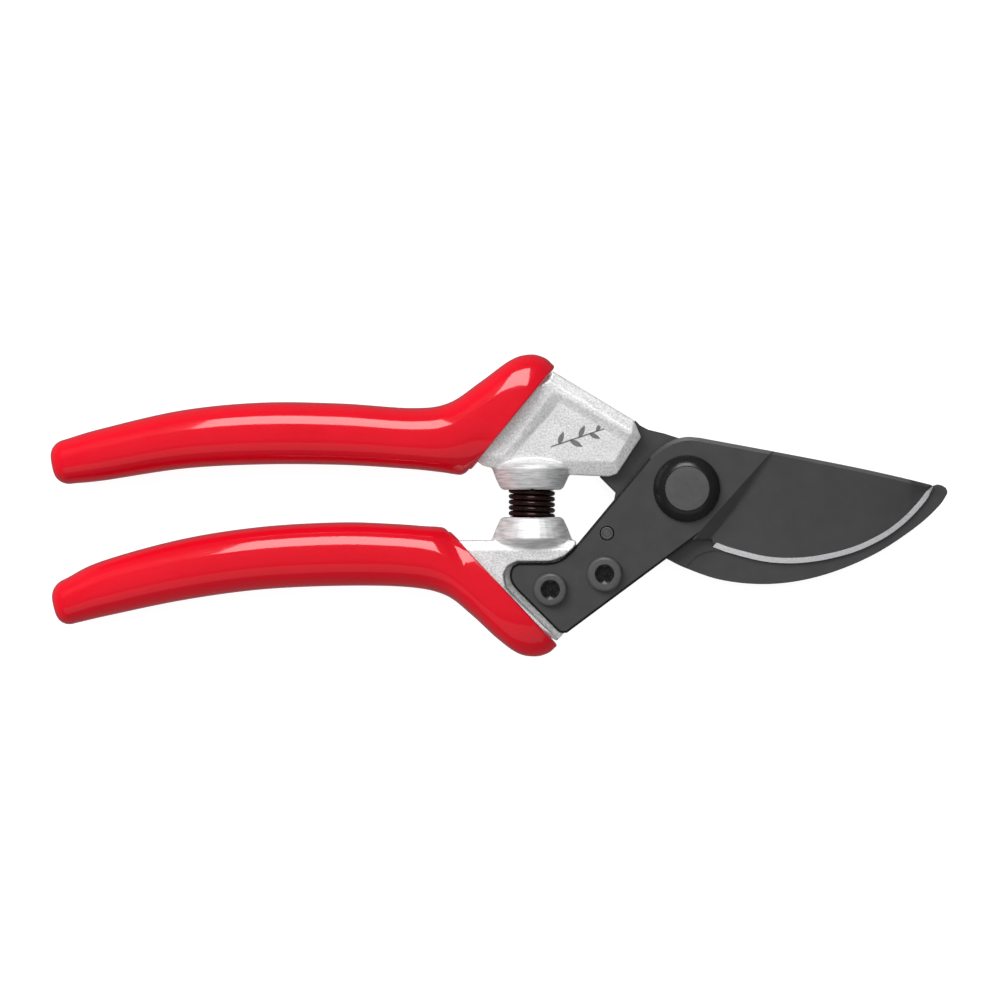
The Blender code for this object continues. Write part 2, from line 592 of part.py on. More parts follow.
def pivot(parent):
    """Bolt, bush, spring washer, hexagon nut and the nylon ring that keeps the nut from turning."""
    head_r = PIVOT_R + PIVOT_HEAD_RIM
    bolt = [(0.0, PIVOT_R - PIVOT_CORNER), (PIVOT_CORNER, PIVOT_R), (PIVOT_HEAD_BACK, PIVOT_R),
            (PIVOT_HEAD_BACK, head_r), (PIVOT_HEAD_BACK + PIVOT_CORNER, head_r),
            (PIVOT_HEAD_FRONT, PIVOT_R + PIVOT_DISC_RIM)]
    place("pivot_bolt", turned(bolt, ROUND), material("pivot_bolt", BLACKED, 0.3, 0.9))
    inner = PIVOT_R + GAP
    bush = ring_solid(inner + BUSH_WALL, inner, COUNTER_BACK + TIGHT, COUNTER_FRONT - TIGHT, ROUND)
    place("pivot_bush", bush, material("pivot_bush", (0.55, 0.36, 0.14), 0.35, 1.0), parent)
    washer = ring_solid(inner + WASHER_WALL, inner, WASHER_BACK, WASHER_BACK + WASHER_THICK, ROUND)
    place("pivot_washer", washer, material("pivot_washer", (0.45, 0.45, 0.46), 0.3, 1.0))

    ring_seat = inner + NUT_RING_WALL + GAP
    corner = (ring_seat + NUT_WALL) / math.cos(math.pi / 6)
    nut = place("pivot_nut", turned([(NUT_BACK, corner - NUT_CORNER), (NUT_BACK + NUT_CORNER, corner),
                                     (NUT_BACK + NUT_THICK, corner)], 6),
                material("pivot_nut", BLACKED, 0.35, 0.9))
    nut.data.shade_flat()
    hole(nut, "nut_bore", (0, 0), inner, NUT_BACK - 1, NUT_BACK + NUT_THICK + 1)
    hole(nut, "nut_ring_seat", (0, 0), ring_seat, NUT_BACK - 1, NUT_BACK + NUT_RING_THICK + 2 * GAP)
    ring = ring_solid(inner + NUT_RING_WALL, inner, NUT_BACK + GAP, NUT_BACK + GAP + NUT_RING_THICK, SMALL_ROUND)
    place("pivot_nut_ring", ring, material("pivot_nut_ring", (0.03, 0.09, 0.35), 0.5, 0.0))


def latch_outline():
    """Lever in its hooked position: X runs from the pin to the stud, Y to the side it hooks from."""
    reach = (Vector(STUD) - Vector(PIN)).length
    throat = reach - STUD_R - GAP
    over = reach + STUD_R + GAP
    tail = [(-TAIL_LENGTH + 1.2, TAIL_HALF), (-TAIL_LENGTH, TAIL_HALF - 1.2), (-TAIL_LENGTH, 1.2 - TAIL_HALF),
            (-TAIL_LENGTH + 1.2, -TAIL_HALF)]
    lower = arc((0, 0), LEVER_HUB_R, -136, -60, 5)
    hook = [(throat - 3, -LEVER_ARM), (over + 1.0, -LEVER_ARM), (over + 1.8, -LEVER_ARM + 0.8),
            (over + 1.8, -0.4), (over + 1.0, 0.6), (over, 0.6), (over, -HOOK_NECK), (throat, -HOOK_NECK),
            (throat, 0.2), (throat - 0.6, 0.5)]
    upper = arc((0, 0), LEVER_HUB_R, 50, 136, 5)
    return [Vector(p) for p in tail] + lower + [Vector(p) for p in hook] + upper


def latch(parent):
    """Lever on the back of the tool, its pin, spring washer, and the stud that it hooks over."""
    line = Vector(STUD) - Vector(PIN)
    lever = place("lock_lever", slab(latch_outline(), LEVER_BACK, LEVER_FRONT),
                  material("lock_lever", (0.30, 0.30, 0.31), 0.35, 1.0))
    lever.location = (PIN[0] * MM, PIN[1] * MM, 0)
    lever.rotation_euler.z = math.atan2(line.y, line.x) - math.radians(LATCH_SWING)
    bore = place("lever_bore", cylinder(PIN, PIN_R + GAP, LEVER_BACK - 1, LEVER_FRONT + 1))
    combine(lever, bore, "DIFFERENCE")

    pin = [(PIN_HEAD_FRONT - PIN_HEAD_THICK, PIN_HEAD_R - PIN_HEAD_CORNER),
           (PIN_HEAD_FRONT - PIN_HEAD_CORNER, PIN_HEAD_R), (PIN_HEAD_FRONT, PIN_HEAD_R),
           (PIN_HEAD_FRONT, PIN_R), (BLADE_FRONT + PIN_PROUD, PIN_R)]
    place("lock_pin", turned(pin, SMALL_ROUND, PIN), material("lock_pin", BLACKED, 0.4, 0.9))
    washer = ring_solid(LEVER_HUB_R, PIN_R + GAP, SPRING_WASHER_FRONT - SPRING_WASHER_THICK,
                        SPRING_WASHER_FRONT, SMALL_ROUND, PIN)
    place("lock_washer", washer, material("lock_washer", (0.45, 0.45, 0.46), 0.3, 1.0))
    stud = [(LEVER_BACK - STUD_PROUD, STUD_R), (COUNTER_BACK - GAP, STUD_R), (COUNTER_BACK - GAP, STUD_SHANK_R),
            (COUNTER_FRONT - STUD_COVER - GAP, STUD_SHANK_R)]
    place("lock_stud", turned(stud, SMALL_ROUND, STUD), material("lock_stud", BLACKED, 0.4, 0.9), parent)


def return_spring():
    """Compression coil between the floors of the two cups, drawn closed."""
    low = LOWER_CUP_MOUTH - CUP_DEPTH + GAP + WIRE / 2
    high = UPPER_CUP_MOUTH + CUP_DEPTH - GAP - WIRE / 2
    radius = SPRING_R - WIRE / 2
    total = int(SPRING_TURNS * SPRING_STEPS)
    rise = (high - low) / total
    rings = []
    for k in range(total + 1):
        a = 2 * math.pi * k / SPRING_STEPS
        out = Vector((math.cos(a), 0, math.sin(a)))
        centre = Vector((CUP_X, low + rise * k, HANDLE_MID)) + out * radius
        ring = []
        for j in range(WIRE_SIDES):
            b = 2 * math.pi * j / WIRE_SIDES
            ring.append(centre + (out * math.cos(b) + Vector((0, 1, 0)) * math.sin(b)) * WIRE / 2)
        rings.append(ring)
    place("return_spring", rings_mesh(rings), material("return_spring", SPRING_BLACK, 0.3, 0.8))


clear_scene()
upper_pivot = bpy.data.objects.new("upper_handle_pivot", None)
bpy.context.scene.collection.objects.link(upper_pivot)
lower_frame()
grip("lower_grip", LOWER_GRIP)
cutting_blade()
upper_frame(upper_pivot)
grip("upper_grip", UPPER_GRIP, upper_pivot)
counter_blade(upper_pivot)
screws(upper_pivot)
pivot(upper_pivot)
latch(upper_pivot)
return_spring()
bpy.context.view_layer.update()
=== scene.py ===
import math

import bmesh
import bpy
from mathutils import Matrix, Vector


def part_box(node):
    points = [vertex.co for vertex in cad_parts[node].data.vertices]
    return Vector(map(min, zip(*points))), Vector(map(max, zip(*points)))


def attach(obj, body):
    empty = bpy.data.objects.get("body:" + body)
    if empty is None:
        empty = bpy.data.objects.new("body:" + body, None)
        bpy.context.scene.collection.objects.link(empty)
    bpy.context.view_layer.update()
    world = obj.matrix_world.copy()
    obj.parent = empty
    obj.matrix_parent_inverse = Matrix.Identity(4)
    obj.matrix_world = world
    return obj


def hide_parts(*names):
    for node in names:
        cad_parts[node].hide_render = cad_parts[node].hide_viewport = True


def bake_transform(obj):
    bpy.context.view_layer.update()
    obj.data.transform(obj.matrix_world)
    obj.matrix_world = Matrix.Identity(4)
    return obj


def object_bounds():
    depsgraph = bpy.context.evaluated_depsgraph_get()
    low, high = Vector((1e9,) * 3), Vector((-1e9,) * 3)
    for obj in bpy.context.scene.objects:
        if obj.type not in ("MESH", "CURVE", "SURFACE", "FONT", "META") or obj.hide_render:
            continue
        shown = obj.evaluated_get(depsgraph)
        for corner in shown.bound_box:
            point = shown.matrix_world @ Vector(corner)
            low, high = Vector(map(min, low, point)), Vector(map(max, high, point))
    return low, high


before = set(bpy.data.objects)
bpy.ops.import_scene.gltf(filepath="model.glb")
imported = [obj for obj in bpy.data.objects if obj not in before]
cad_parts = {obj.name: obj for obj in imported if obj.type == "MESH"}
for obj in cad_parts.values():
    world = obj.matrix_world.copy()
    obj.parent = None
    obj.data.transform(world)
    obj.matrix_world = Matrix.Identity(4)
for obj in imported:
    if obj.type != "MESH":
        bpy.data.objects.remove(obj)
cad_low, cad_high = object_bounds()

MM = 0.001

# Bench, studio light and camera. The tool lies on a pale, softly glowing sheet under a wide overhead box and
# a wide fill from the upper left. A small box on the upper side gives only highlights, and a weak card lies
# opposite. The tool is seen from straight above.
BENCH_TOP = cad_low[2]
BENCH_GAP = 0.2 * MM
BENCH_HALF = 2.5
PAPER_GREY = (0.28, 0.28, 0.28, 1.0)
PAPER_ROUGHNESS = 0.9
PAPER_GLOW = 0.88
WHITE = (1.0, 1.0, 1.0, 1.0)
SURROUND_TINT = (0.93, 0.95, 1.0, 1.0)
SURROUND_STRENGTH = 0.13
LIGHT_AIM = (-0.04, 0.0, 0.0)
# Each row is one light: name, place and size in metres, watts, and the kind of ray that passes it by
SOFT_BOXES = [
    ("overhead_box", (-0.04, 0.0, 1.5), (1.1, 1.1), 10.0, "glossy"),
    ("upper_side_box", (-0.04, 0.90, 0.90), (0.6, 0.8), 9.5, "diffuse"),
    ("upper_left_fill", (-0.75, 0.70, 0.85), (0.8, 0.8), 19.0, "glossy"),
    ("lower_side_card", (-0.04, -0.90, 0.90), (1.8, 0.8), 1.3, "none"),
]
LENS = 150.0
SENSOR = 36.0
NEAREST_SEEN = 10.0 * MM
FIELD_WIDTH = 240.0 * MM
SHARP_HEIGHT = 12.0 * MM
VIEW_CENTRE = (-44.76 * MM, -2.74 * MM)


def put_in_scene(name, data):
    thing = bpy.data.objects.new(name, data)
    bpy.context.scene.collection.objects.link(thing)
    return thing


def soft_box(name, place, size, power, passed_by):
    lamp = bpy.data.lights.new(name, "AREA")
    lamp.shape = "RECTANGLE"
    lamp.size, lamp.size_y = size
    lamp.energy = power
    light = put_in_scene(name, lamp)
    light.location = place
    light.rotation_euler = (Vector(LIGHT_AIM) - Vector(place)).to_track_quat("-Z", "Y").to_euler()
    light.visible_glossy = passed_by != "glossy"
    light.visible_diffuse = passed_by != "diffuse"


camera_data = bpy.data.cameras.new("bench_camera")
camera_data.lens = LENS
camera_data.sensor_width = SENSOR
camera_data.clip_start = NEAREST_SEEN
camera = put_in_scene("bench_camera", camera_data)
camera.location = (*VIEW_CENTRE, SHARP_HEIGHT + FIELD_WIDTH * LENS / SENSOR)
bpy.context.scene.camera = camera

bpy.context.scene.view_settings.view_transform = "Standard"
surround = bpy.data.worlds.new("studio")
surround.use_nodes = True
backdrop = surround.node_tree.nodes["Background"].inputs
backdrop["Color"].default_value = SURROUND_TINT
backdrop["Strength"].default_value = SURROUND_STRENGTH
bpy.context.scene.world = surround

for box in SOFT_BOXES:
    soft_box(*box)

bench_mesh = bpy.data.meshes.new("bench")
bench_draw = bmesh.new()
bmesh.ops.create_grid(bench_draw, x_segments=1, y_segments=1, size=BENCH_HALF)
bench_draw.to_mesh(bench_mesh)
bench_draw.free()
bench = put_in_scene("bench", bench_mesh)
bench.location.z = BENCH_TOP - BENCH_GAP
bench.visible_glossy = False
paper = bpy.data.materials.new("bench_paper")
paper.use_nodes = True
paper_face = paper.node_tree.nodes["Principled BSDF"].inputs
paper_face["Base Color"].default_value = PAPER_GREY
paper_face["Roughness"].default_value = PAPER_ROUGHNESS
paper_face["Emission Color"].default_value = WHITE
paper_face["Emission Strength"].default_value = PAPER_GLOW
bench_mesh.materials.append(paper)

# Grips. Each is a sleeve of soft red vinyl, made by dipping the handle's tang, so it has one even wall,
# a domed closed end, a rolled lip where the aluminium comes out, and a wet gloss with a faint orange peel.
GRIP_WALL = 1.5
GRIP_THICK = 17.0
GRIP_END_SHARE = 0.79
GRIP_END_DOME = 3.9
GRIP_END_TAPER = 0.66
GRIP_SWELL_ROWS = 3
GRIP_MIDDLE = 9.0
GRIP_SIDES = 64
GRIP_STEPS = 9
GRIP_SQUARENESS = 2.3
DOME_TURN = 6
CORE_SHARES = (0.15, 0.4, 0.7, 0.9)
CORE_BULGE = 0.18
LIP_ROLL = 0.45
LIP_TURNS = (35, 65, 90, 115, 145)
# Each row is one ring of the web in the mouth: its depth, then the share of the bore's width and height
WEB_RINGS = [(0.5, 1.0, 1.0), (0.6, 0.97, 0.97), (0.6, 0.8, 0.55), (1.6, 0.8, 0.55), (1.6, 0.97, 0.97),
             (2.0, 1.0, 1.0)]
VINYL_DEEP = (0.62, 0.002, 0.012)
VINYL_BRIGHT = (0.68, 0.003, 0.015)
SMOOTH_BELOW = 32
NOISE_LOW, NOISE_HIGH = 0.3, 0.7
# Each row is one section of the sleeve: its upper edge, then its lower edge
UPPER_GRIP_EDGES = [
    ((-149.6, 11.8), (-147.6, 1.2)),
    ((-140.8, 14.4), (-139.8, 2.0)),
    ((-121.6, 18.8), (-121.0, 4.8)),
    ((-102.4, 20.7), (-102.4, 5.8)),
    ((-83.2, 20.5), (-83.2, 5.7)),
    ((-66.0, 19.4), (-67.5, 4.8)),
    ((-57.2, 20.6), (-59.5, 4.0)),
    ((-49.6, 25.6), (-56.2, 3.5)),
    ((-42.3, 30.9), (-54.4, 3.3)),
    ((-37.6, 32.3), (-53.4, 3.6)),
    ((-34.0, 31.5), (-52.7, 4.1)),
    ((-31.8, 29.6), (-52.2, 4.7)),
]
LOWER_GRIP_EDGES = [
    ((-149.6, -21.8), (-147.0, -32.4)),
    ((-140.8, -17.5), (-138.8, -30.5)),
    ((-121.6, -12.2), (-120.8, -26.8)),
    ((-102.4, -9.2), (-102.4, -24.3)),
    ((-83.2, -8.1), (-83.2, -23.4)),
    ((-70.0, -8.5), (-67.0, -23.7)),
    ((-63.0, -9.0), (-58.0, -25.6)),
    ((-60.5, -9.1), (-51.8, -30.2)),
    ((-59.3, -9.2), (-45.5, -36.0)),
    ((-58.6, -9.3), (-40.5, -39.6)),
    ((-58.1, -9.5), (-36.4, -40.4)),
    ((-57.6, -9.9), (-33.2, -39.6)),
    ((-57.2, -10.4), (-31.2, -38.0)),
]


def drawn_through(points, steps):
    """Points of a smooth curve that passes through the given ones."""
    pts = [Vector(p) for p in points]
    pts = [2 * pts[0] - pts[1]] + pts + [2 * pts[-1] - pts[-2]]
    out = []
    for a, b, c, d in zip(pts, pts[1:], pts[2:], pts[3:]):
        for k in range(steps):
            t = k / steps
            out.append(0.5 * (2 * b + (c - a) * t + (2 * a - 5 * b + 4 * c - d) * t**2
                              + (3 * b - a - 3 * c + d) * t**3))
    return out + [pts[-2]]


def made_solid(name, draw, *finishes, crease=SMOOTH_BELOW):
    """Turn a mesh drawn in millimetres into a piece shaded smooth below the crease angle."""
    bmesh.ops.recalc_face_normals(draw, faces=draw.faces)
    bmesh.ops.scale(draw, vec=(MM, MM, MM), verts=draw.verts)
    mesh = bpy.data.meshes.new(name)
    draw.to_mesh(mesh)
    draw.free()
    mesh.shade_smooth()
    mesh.set_sharp_from_angle(angle=math.radians(crease))
    for finish in finishes:
        mesh.materials.append(finish)
    return put_in_scene(name, mesh)


def skin_over(rings):
    """A closed skin over rings with equal counts, with a face across each end."""
    draw = bmesh.new()
    loops = [[draw.verts.new(p) for p in ring] for ring in rings]
    for low, high in zip(loops, loops[1:]):
        for k in range(len(low)):
            draw.faces.new((low[k - 1], low[k], high[k], high[k - 1]))
    draw.faces.new(loops[0])
    draw.faces.new(loops[-1])
    return draw


def shader_node(tree, kind, sockets, **settings):
    """Add a shader node; sockets maps an input's name or number to a value or to another node's output."""
    made = tree.nodes.new("ShaderNode" + kind)
    for key, value in settings.items():
        setattr(made, key, value)
    for key, value in sockets.items():
        if isinstance(value, bpy.types.NodeSocket):
            tree.links.new(value, made.inputs[key])
        else:
            made.inputs[key].default_value = value
    return made


def new_finish(name, **sockets):
    """A material with a principled shader whose constant sockets are set; returns both and the tree."""
    finish = bpy.data.materials.new(name)
    finish.use_nodes = True
    tree = finish.node_tree
    shader = tree.nodes["Principled BSDF"]
    for key, value in sockets.items():
        shader.inputs[key.replace("_", " ")].default_value = value
    return finish, tree, shader


def cloud(tree, scale, detail=3.0, rough=0.55):
    """Noise over the piece's own coordinates, 0 to 1; scale is in waves per metre."""
    place = shader_node(tree, "TexCoord", {})
    made = shader_node(tree, "TexNoise", {"Vector": place.outputs["Object"], "Scale": scale, "Detail": detail,
                                          "Roughness": rough})
    return made.outputs["Fac"]


def roughened(tree, shader, source, low, high):
    """Roughness between two values, following a noise."""
    reach = shader_node(tree, "MapRange", {"Value": source, "From Min": NOISE_LOW, "From Max": NOISE_HIGH,
                                           "To Min": low, "To Max": high})
    tree.links.new(reach.outputs["Result"], shader.inputs["Roughness"])


def bumped(tree, shader, height, distance, strength=1.0):
    lift = shader_node(tree, "Bump", {"Height": height, "Distance": distance, "Strength": strength})
    tree.links.new(lift.outputs["Normal"], shader.inputs["Normal"])


def tinted(tree, shader, factor, first, second):
    """Base colour between two shades, following a noise."""
    ramp = shader_node(tree, "ValToRGB", {"Fac": factor})
    for stop, position, colour in zip(ramp.color_ramp.elements, (NOISE_LOW, NOISE_HIGH), (first, second)):
        stop.position = position
        stop.color = (*colour, 1.0)
    tree.links.new(ramp.outputs["Color"], shader.inputs["Base Color"])


def dipped_vinyl():
    finish, tree, shader = new_finish("dipped_red_vinyl", IOR=1.5, Coat_Weight=1.0, Coat_Roughness=0.06,
                                      Coat_IOR=1.5, Specular_IOR_Level=0.12)
    tinted(tree, shader, cloud(tree, 35.0), VINYL_DEEP, VINYL_BRIGHT)
    roughened(tree, shader, cloud(tree, 260.0, 4.0), 0.15, 0.24)
    peel = cloud(tree, 700.0, 2.0)
    sag = cloud(tree, 60.0, 1.0)
    both = shader_node(tree, "Math", {0: peel, 1: 0.12, 2: sag}, operation="MULTIPLY_ADD")
    bumped(tree, shader, both.outputs["Value"], 0.12 * MM, 0.5)
    return finish


def sleeve_section(top, bottom, thick, inward, shift=Vector((0.0, 0.0))):
    """One rounded-square section between two edge points, set inwards from the sleeve's skin."""
    middle = (top + bottom) / 2
    across = (top - bottom).normalized()
    half_wide = (top - bottom).length / 2 - inward
    half_thick = thick / 2 - inward
    ring = []
    for k in range(GRIP_SIDES):
        a = 2 * math.pi * (k + 0.5) / GRIP_SIDES
        u = math.copysign(abs(math.cos(a)) ** (2 / GRIP_SQUARENESS), math.cos(a)) * half_wide
        w = math.copysign(abs(math.sin(a)) ** (2 / GRIP_SQUARENESS), math.sin(a)) * half_thick
        point = middle + across * u + shift
        ring.append(Vector((point.x, point.y, GRIP_MIDDLE + w)))
    return ring


def sleeve(name, edges, finish):
    """Outer skin from the domed end to the mouth, the rolled lip, then the bore back to its end."""
    tops = drawn_through([row[0] for row in edges], GRIP_STEPS)
    bottoms = drawn_through([row[1] for row in edges], GRIP_STEPS)
    run_in = GRIP_SWELL_ROWS * GRIP_STEPS
    outer = []
    inner = []
    for k, (top, bottom) in enumerate(zip(tops, bottoms)):
        swell = math.sin(math.pi / 2 * min(1.0, k / run_in))
        thick = GRIP_THICK * (GRIP_END_SHARE + (1 - GRIP_END_SHARE) * swell)
        outer.append(sleeve_section(top, bottom, thick, 0.0))
        inner.append(sleeve_section(top, bottom, thick, GRIP_WALL))
    mouth = (tops[-1] - bottoms[-1]).normalized()
    out_of_mouth = Vector((mouth.y, -mouth.x))
    lip = []
    for turn in LIP_TURNS:
        a = math.radians(turn)
        inward = GRIP_WALL / 2 * (1 - math.cos(a))
        roll = out_of_mouth * LIP_ROLL * math.sin(a)
        lip.append(sleeve_section(tops[-1], bottoms[-1], GRIP_THICK, inward, roll))
    ends = [(tops[k] + bottoms[k]) / 2 for k in (0, GRIP_STEPS)]
    outward = (ends[0] - ends[1]).normalized().to_3d()
    centre = sum(outer[0], Vector()) / GRIP_SIDES
    dome = []
    for turn in range(90, 0, -DOME_TURN):
        a = math.radians(turn)
        shrink = 1 - (1 - math.cos(a)) * GRIP_END_TAPER
        bulge = outward * GRIP_END_DOME * math.sin(a)
        dome.append([centre + (p - centre) * shrink + bulge for p in outer[0]])
    core = []
    for share in CORE_SHARES:
        bulge = outward * (GRIP_END_DOME + CORE_BULGE * (1 - share * share))
        core.append([centre + bulge + (p - centre) * share * (1 - GRIP_END_TAPER) for p in outer[0]])
    mouth_middle = sum(inner[-1], Vector()) / GRIP_SIDES
    web = []
    for depth, keep_wide, keep_thick in WEB_RINGS:
        ring = []
        for p in inner[-1]:
            away = p - mouth_middle
            kept = Vector((away.x, away.y, 0)) * keep_wide + Vector((0, 0, away.z * keep_thick))
            ring.append(mouth_middle + kept - out_of_mouth.to_3d() * depth)
        web.append(ring)
    rings = core + dome + outer + lip + web + inner[GRIP_STEPS:-GRIP_STEPS][::-1]
    return made_solid(name, skin_over(rings), finish)


red_vinyl = dipped_vinyl()
for side, edges in (("upper", UPPER_GRIP_EDGES), ("lower", LOWER_GRIP_EDGES)):
    grip = sleeve(side + "_grip_sleeve", edges, red_vinyl)
    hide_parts(side + "_grip")
    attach(grip, side + "_handle")

# Handles. Both are aluminium forgings, blasted to an even grain: the chamfered heads, spring seats and
# pockets are struck in one piece with the tangs inside the grips, so every inner corner is a small fillet.
WELD_GAP = 0.001 * MM
FORGING_GRAIN = 0.26 * MM
FORGING_SOFTENING = 3
TANG_CUT = {"upper": -60.0 * MM, "lower": -64.0 * MM}
SEAT_AXIS = (-37.1 * MM, 9.0 * MM)
SEAT_REACH = 9.4 * MM
SEAT_ZONE = (-14.6 * MM, 6.4 * MM)
BLASTED_DARK = (0.56, 0.56, 0.56)
BLASTED_LIGHT = (0.99, 0.985, 0.98)
TURNED_DARK = (0.62, 0.62, 0.62)
TURNED_LIGHT = (0.97, 0.97, 0.97)


def blasted_aluminium():
    finish, tree, shader = new_finish("blasted_aluminium", Metallic=0.45, IOR=1.45)
    grain = cloud(tree, 2100.0, 2.0, 0.6)
    patches = cloud(tree, 160.0, 4.0, 0.6)
    mixed = shader_node(tree, "Math", {0: grain, 1: 4.0, 2: patches}, operation="MULTIPLY_ADD")
    shared = shader_node(tree, "Math", {0: mixed.outputs["Value"], 1: 0.2}, operation="MULTIPLY")
    tinted(tree, shader, shared.outputs["Value"], BLASTED_DARK, BLASTED_LIGHT)
    roughened(tree, shader, patches, 0.40, 0.52)
    bumped(tree, shader, grain, 0.12 * MM, 0.8)
    return finish


def turned_aluminium():
    """Bright metal left by the cutter that turned the spring seats, with rings along the tool's path."""
    finish, tree, shader = new_finish("turned_aluminium", Metallic=0.6, IOR=1.45)
    place = shader_node(tree, "TexCoord", {})
    squeezed = shader_node(tree, "Mapping", {"Vector": place.outputs["Object"], "Scale": (0.12, 1.0, 0.12)})
    noise = shader_node(tree, "TexNoise", {"Vector": squeezed.outputs["Vector"], "Scale": 2600.0,
                                           "Detail": 2.0})
    rings = noise.outputs["Fac"]
    tinted(tree, shader, rings, TURNED_DARK, TURNED_LIGHT)
    roughened(tree, shader, rings, 0.48, 0.62)
    bumped(tree, shader, rings, 0.05 * MM, 0.6)
    return finish


def settled(piece):
    """Make a piece's modifiers part of its mesh."""
    bpy.context.view_layer.update()
    mesh = bpy.data.meshes.new_from_object(piece.evaluated_get(bpy.context.evaluated_depsgraph_get()))
    piece.modifiers.clear()
    piece.data = mesh
    return mesh


def forging(name, node, cut_at, *finishes):
    """Round off the corners and fillet the joins of a handle's solid, leaving out the hidden tang."""
    draw = bmesh.new()
    draw.from_mesh(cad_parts[node].data)
    bmesh.ops.remove_doubles(draw, verts=draw.verts, dist=WELD_GAP)
    cut = bmesh.ops.bisect_plane(draw, geom=draw.verts[:] + draw.edges[:] + draw.faces[:],
                                 plane_co=(cut_at, 0, 0), plane_no=(1, 0, 0), clear_inner=True)
    rim = [g for g in cut["geom_cut"] if isinstance(g, bmesh.types.BMEdge)]
    bmesh.ops.triangle_fill(draw, edges=rim, use_beauty=True)
    solid = bpy.data.meshes.new(name)
    draw.to_mesh(solid)
    draw.free()
    piece = put_in_scene(name, solid)
    rebuilt = piece.modifiers.new("even_grain", "REMESH")
    rebuilt.mode = "VOXEL"
    rebuilt.voxel_size = FORGING_GRAIN
    softened = piece.modifiers.new("softened", "SMOOTH")
    softened.iterations = FORGING_SOFTENING
    shaped = settled(piece)
    shaped.materials.clear()
    for finish in finishes:
        shaped.materials.append(finish)
    for face in shaped.polygons:
        off_axis = math.hypot(face.center.x - SEAT_AXIS[0], face.center.z - SEAT_AXIS[1])
        if off_axis < SEAT_REACH and SEAT_ZONE[0] < face.center.y < SEAT_ZONE[1]:
            face.material_index = 1
    shaped.shade_smooth()
    return piece


aluminium = blasted_aluminium()
seat_metal = turned_aluminium()
for side in ("upper", "lower"):
    handle = forging(side + "_forging", side + "_frame", TANG_CUT[side], aluminium, seat_metal)
    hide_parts(side + "_frame")
    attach(handle, side + "_handle")

# Cutting blade. A plate of tool steel with a black non-stick coating, hollow ground from the line beside
# the pivot out to the edge; the last narrow bevel is honed after coating, so it is bare bright steel.
BLADE_BACK, BLADE_FRONT = (z / MM for z in (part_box("cutting_blade")[0].z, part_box("cutting_blade")[1].z))
GRIND_FOOT = (1.4, -12.2)
GRIND_HEAD = (20.5, 9.0)
HEEL = (5.9, -12.5)
EDGE_LINE = [(6.4, -14.0), (10.9, -15.6), (20.0, -17.7), (29.4, -17.7), (39.4, -15.6), (47.1, -12.2),
             (52.7, -8.2), (57.5, -3.1), (59.4, 0.3)]
SPINE_LINE = [GRIND_HEAD, (31.0, 7.0), (41.5, 4.9), (50.5, 2.9), (58.9, 0.9)]
EDGE_CURVE_STEPS = 6
SPINE_CURVE_STEPS = 8
EYE_CURVE = [(3.2, 12.2), (-0.2, 12.4), (-3.6, 11.5), (-6.4, 9.7), (-8.8, 7.6)]
WAIST_CURVE = [(-25.9, -13.0), (-27.6, -14.9), (-29.6, -16.7), (-31.6, -17.6), (-33.6, -17.9)]
TAIL_CORNER = [(-40.4, -17.9), (-41.8, -18.8), (-42.4, -20.6), (-42.1, -22.4), (-40.9, -24.2)]
TOE_CORNER = [(-31.4, -33.7), (-30.3, -34.6), (-28.7, -34.6)]
SPINE_CHAMFER = 0.9
SPINE_CHAMFER_FALL = 0.55
CHAMFER_SHARE_MOST = 0.25
EYE_RUN_OUT = 2
PLATE_CHAMFER = 0.55
EDGE_LAND = 0.15
BEVEL_WIDE = 1.3
BEVEL_RISE = 0.8
BEVEL_SHARE_MOST = 0.45
SLANT_MOST = 2.5
GRIND_DEPTH = 0.25
HOLLOW = 0.35
PLUNGE_SLOPE = 0.75
THINNING_RUN = 9.0
FACE_COLUMNS = 10
PLATE_STEPS = 5
PLATE_CREASE = 18
NEARLY_STRAIGHT = 0.08
# Stations from the grind line to the heel, round its corner and along the edge, and how far up the spine
# the opposite point has gone when the heel and then its corner are reached
HEEL_STATIONS = 8
CORNER_STATIONS = 3
EDGE_STATIONS = 84
HEEL_SHARE = 0.10
CORNER_SHARE = 0.12
BLADE_HOLES = [("pivot_bolt", 4.3), ("blade_screw_rear", 2.9), ("blade_screw_front", 2.9), ("lock_pin", 1.75)]
DRILL_SIDES = 48
DRILL_LONG = 60.0 * MM
DRILL_MIDDLE = 10.0 * MM
COATING_GREY = (0.047, 0.047, 0.047)
# Much darker grey for the plate's outline chamfers: painted shade for the dark gap round the plate
CHAMFER_PAINTED_SHADE_GREY = (0.010, 0.010, 0.010)
HONED_DARK = (0.80, 0.80, 0.81)
HONED_LIGHT = (0.95, 0.95, 0.96)


def black_coating(name, shade, roughness):
    """Satin black coating with a fine tooth and faint handling marks."""
    finish, tree, shader = new_finish(name, Metallic=0.0, IOR=1.5, Specular_IOR_Level=0.45)
    tooth = cloud(tree, 3200.0, 2.0)
    marks = cloud(tree, 220.0, 5.0, 0.65)
    tinted(tree, shader, marks, [0.86 * c for c in shade], shade)
    roughened(tree, shader, marks, roughness - 0.05, roughness + 0.06)
    bumped(tree, shader, tooth, 0.02 * MM, 0.35)
    return finish


def honed_steel():
    finish, tree, shader = new_finish("honed_edge_steel", Metallic=0.45, IOR=1.45)
    strokes = cloud(tree, 1800.0, 2.0)
    tinted(tree, shader, strokes, HONED_DARK, HONED_LIGHT)
    roughened(tree, shader, strokes, 0.40, 0.52)
    return finish


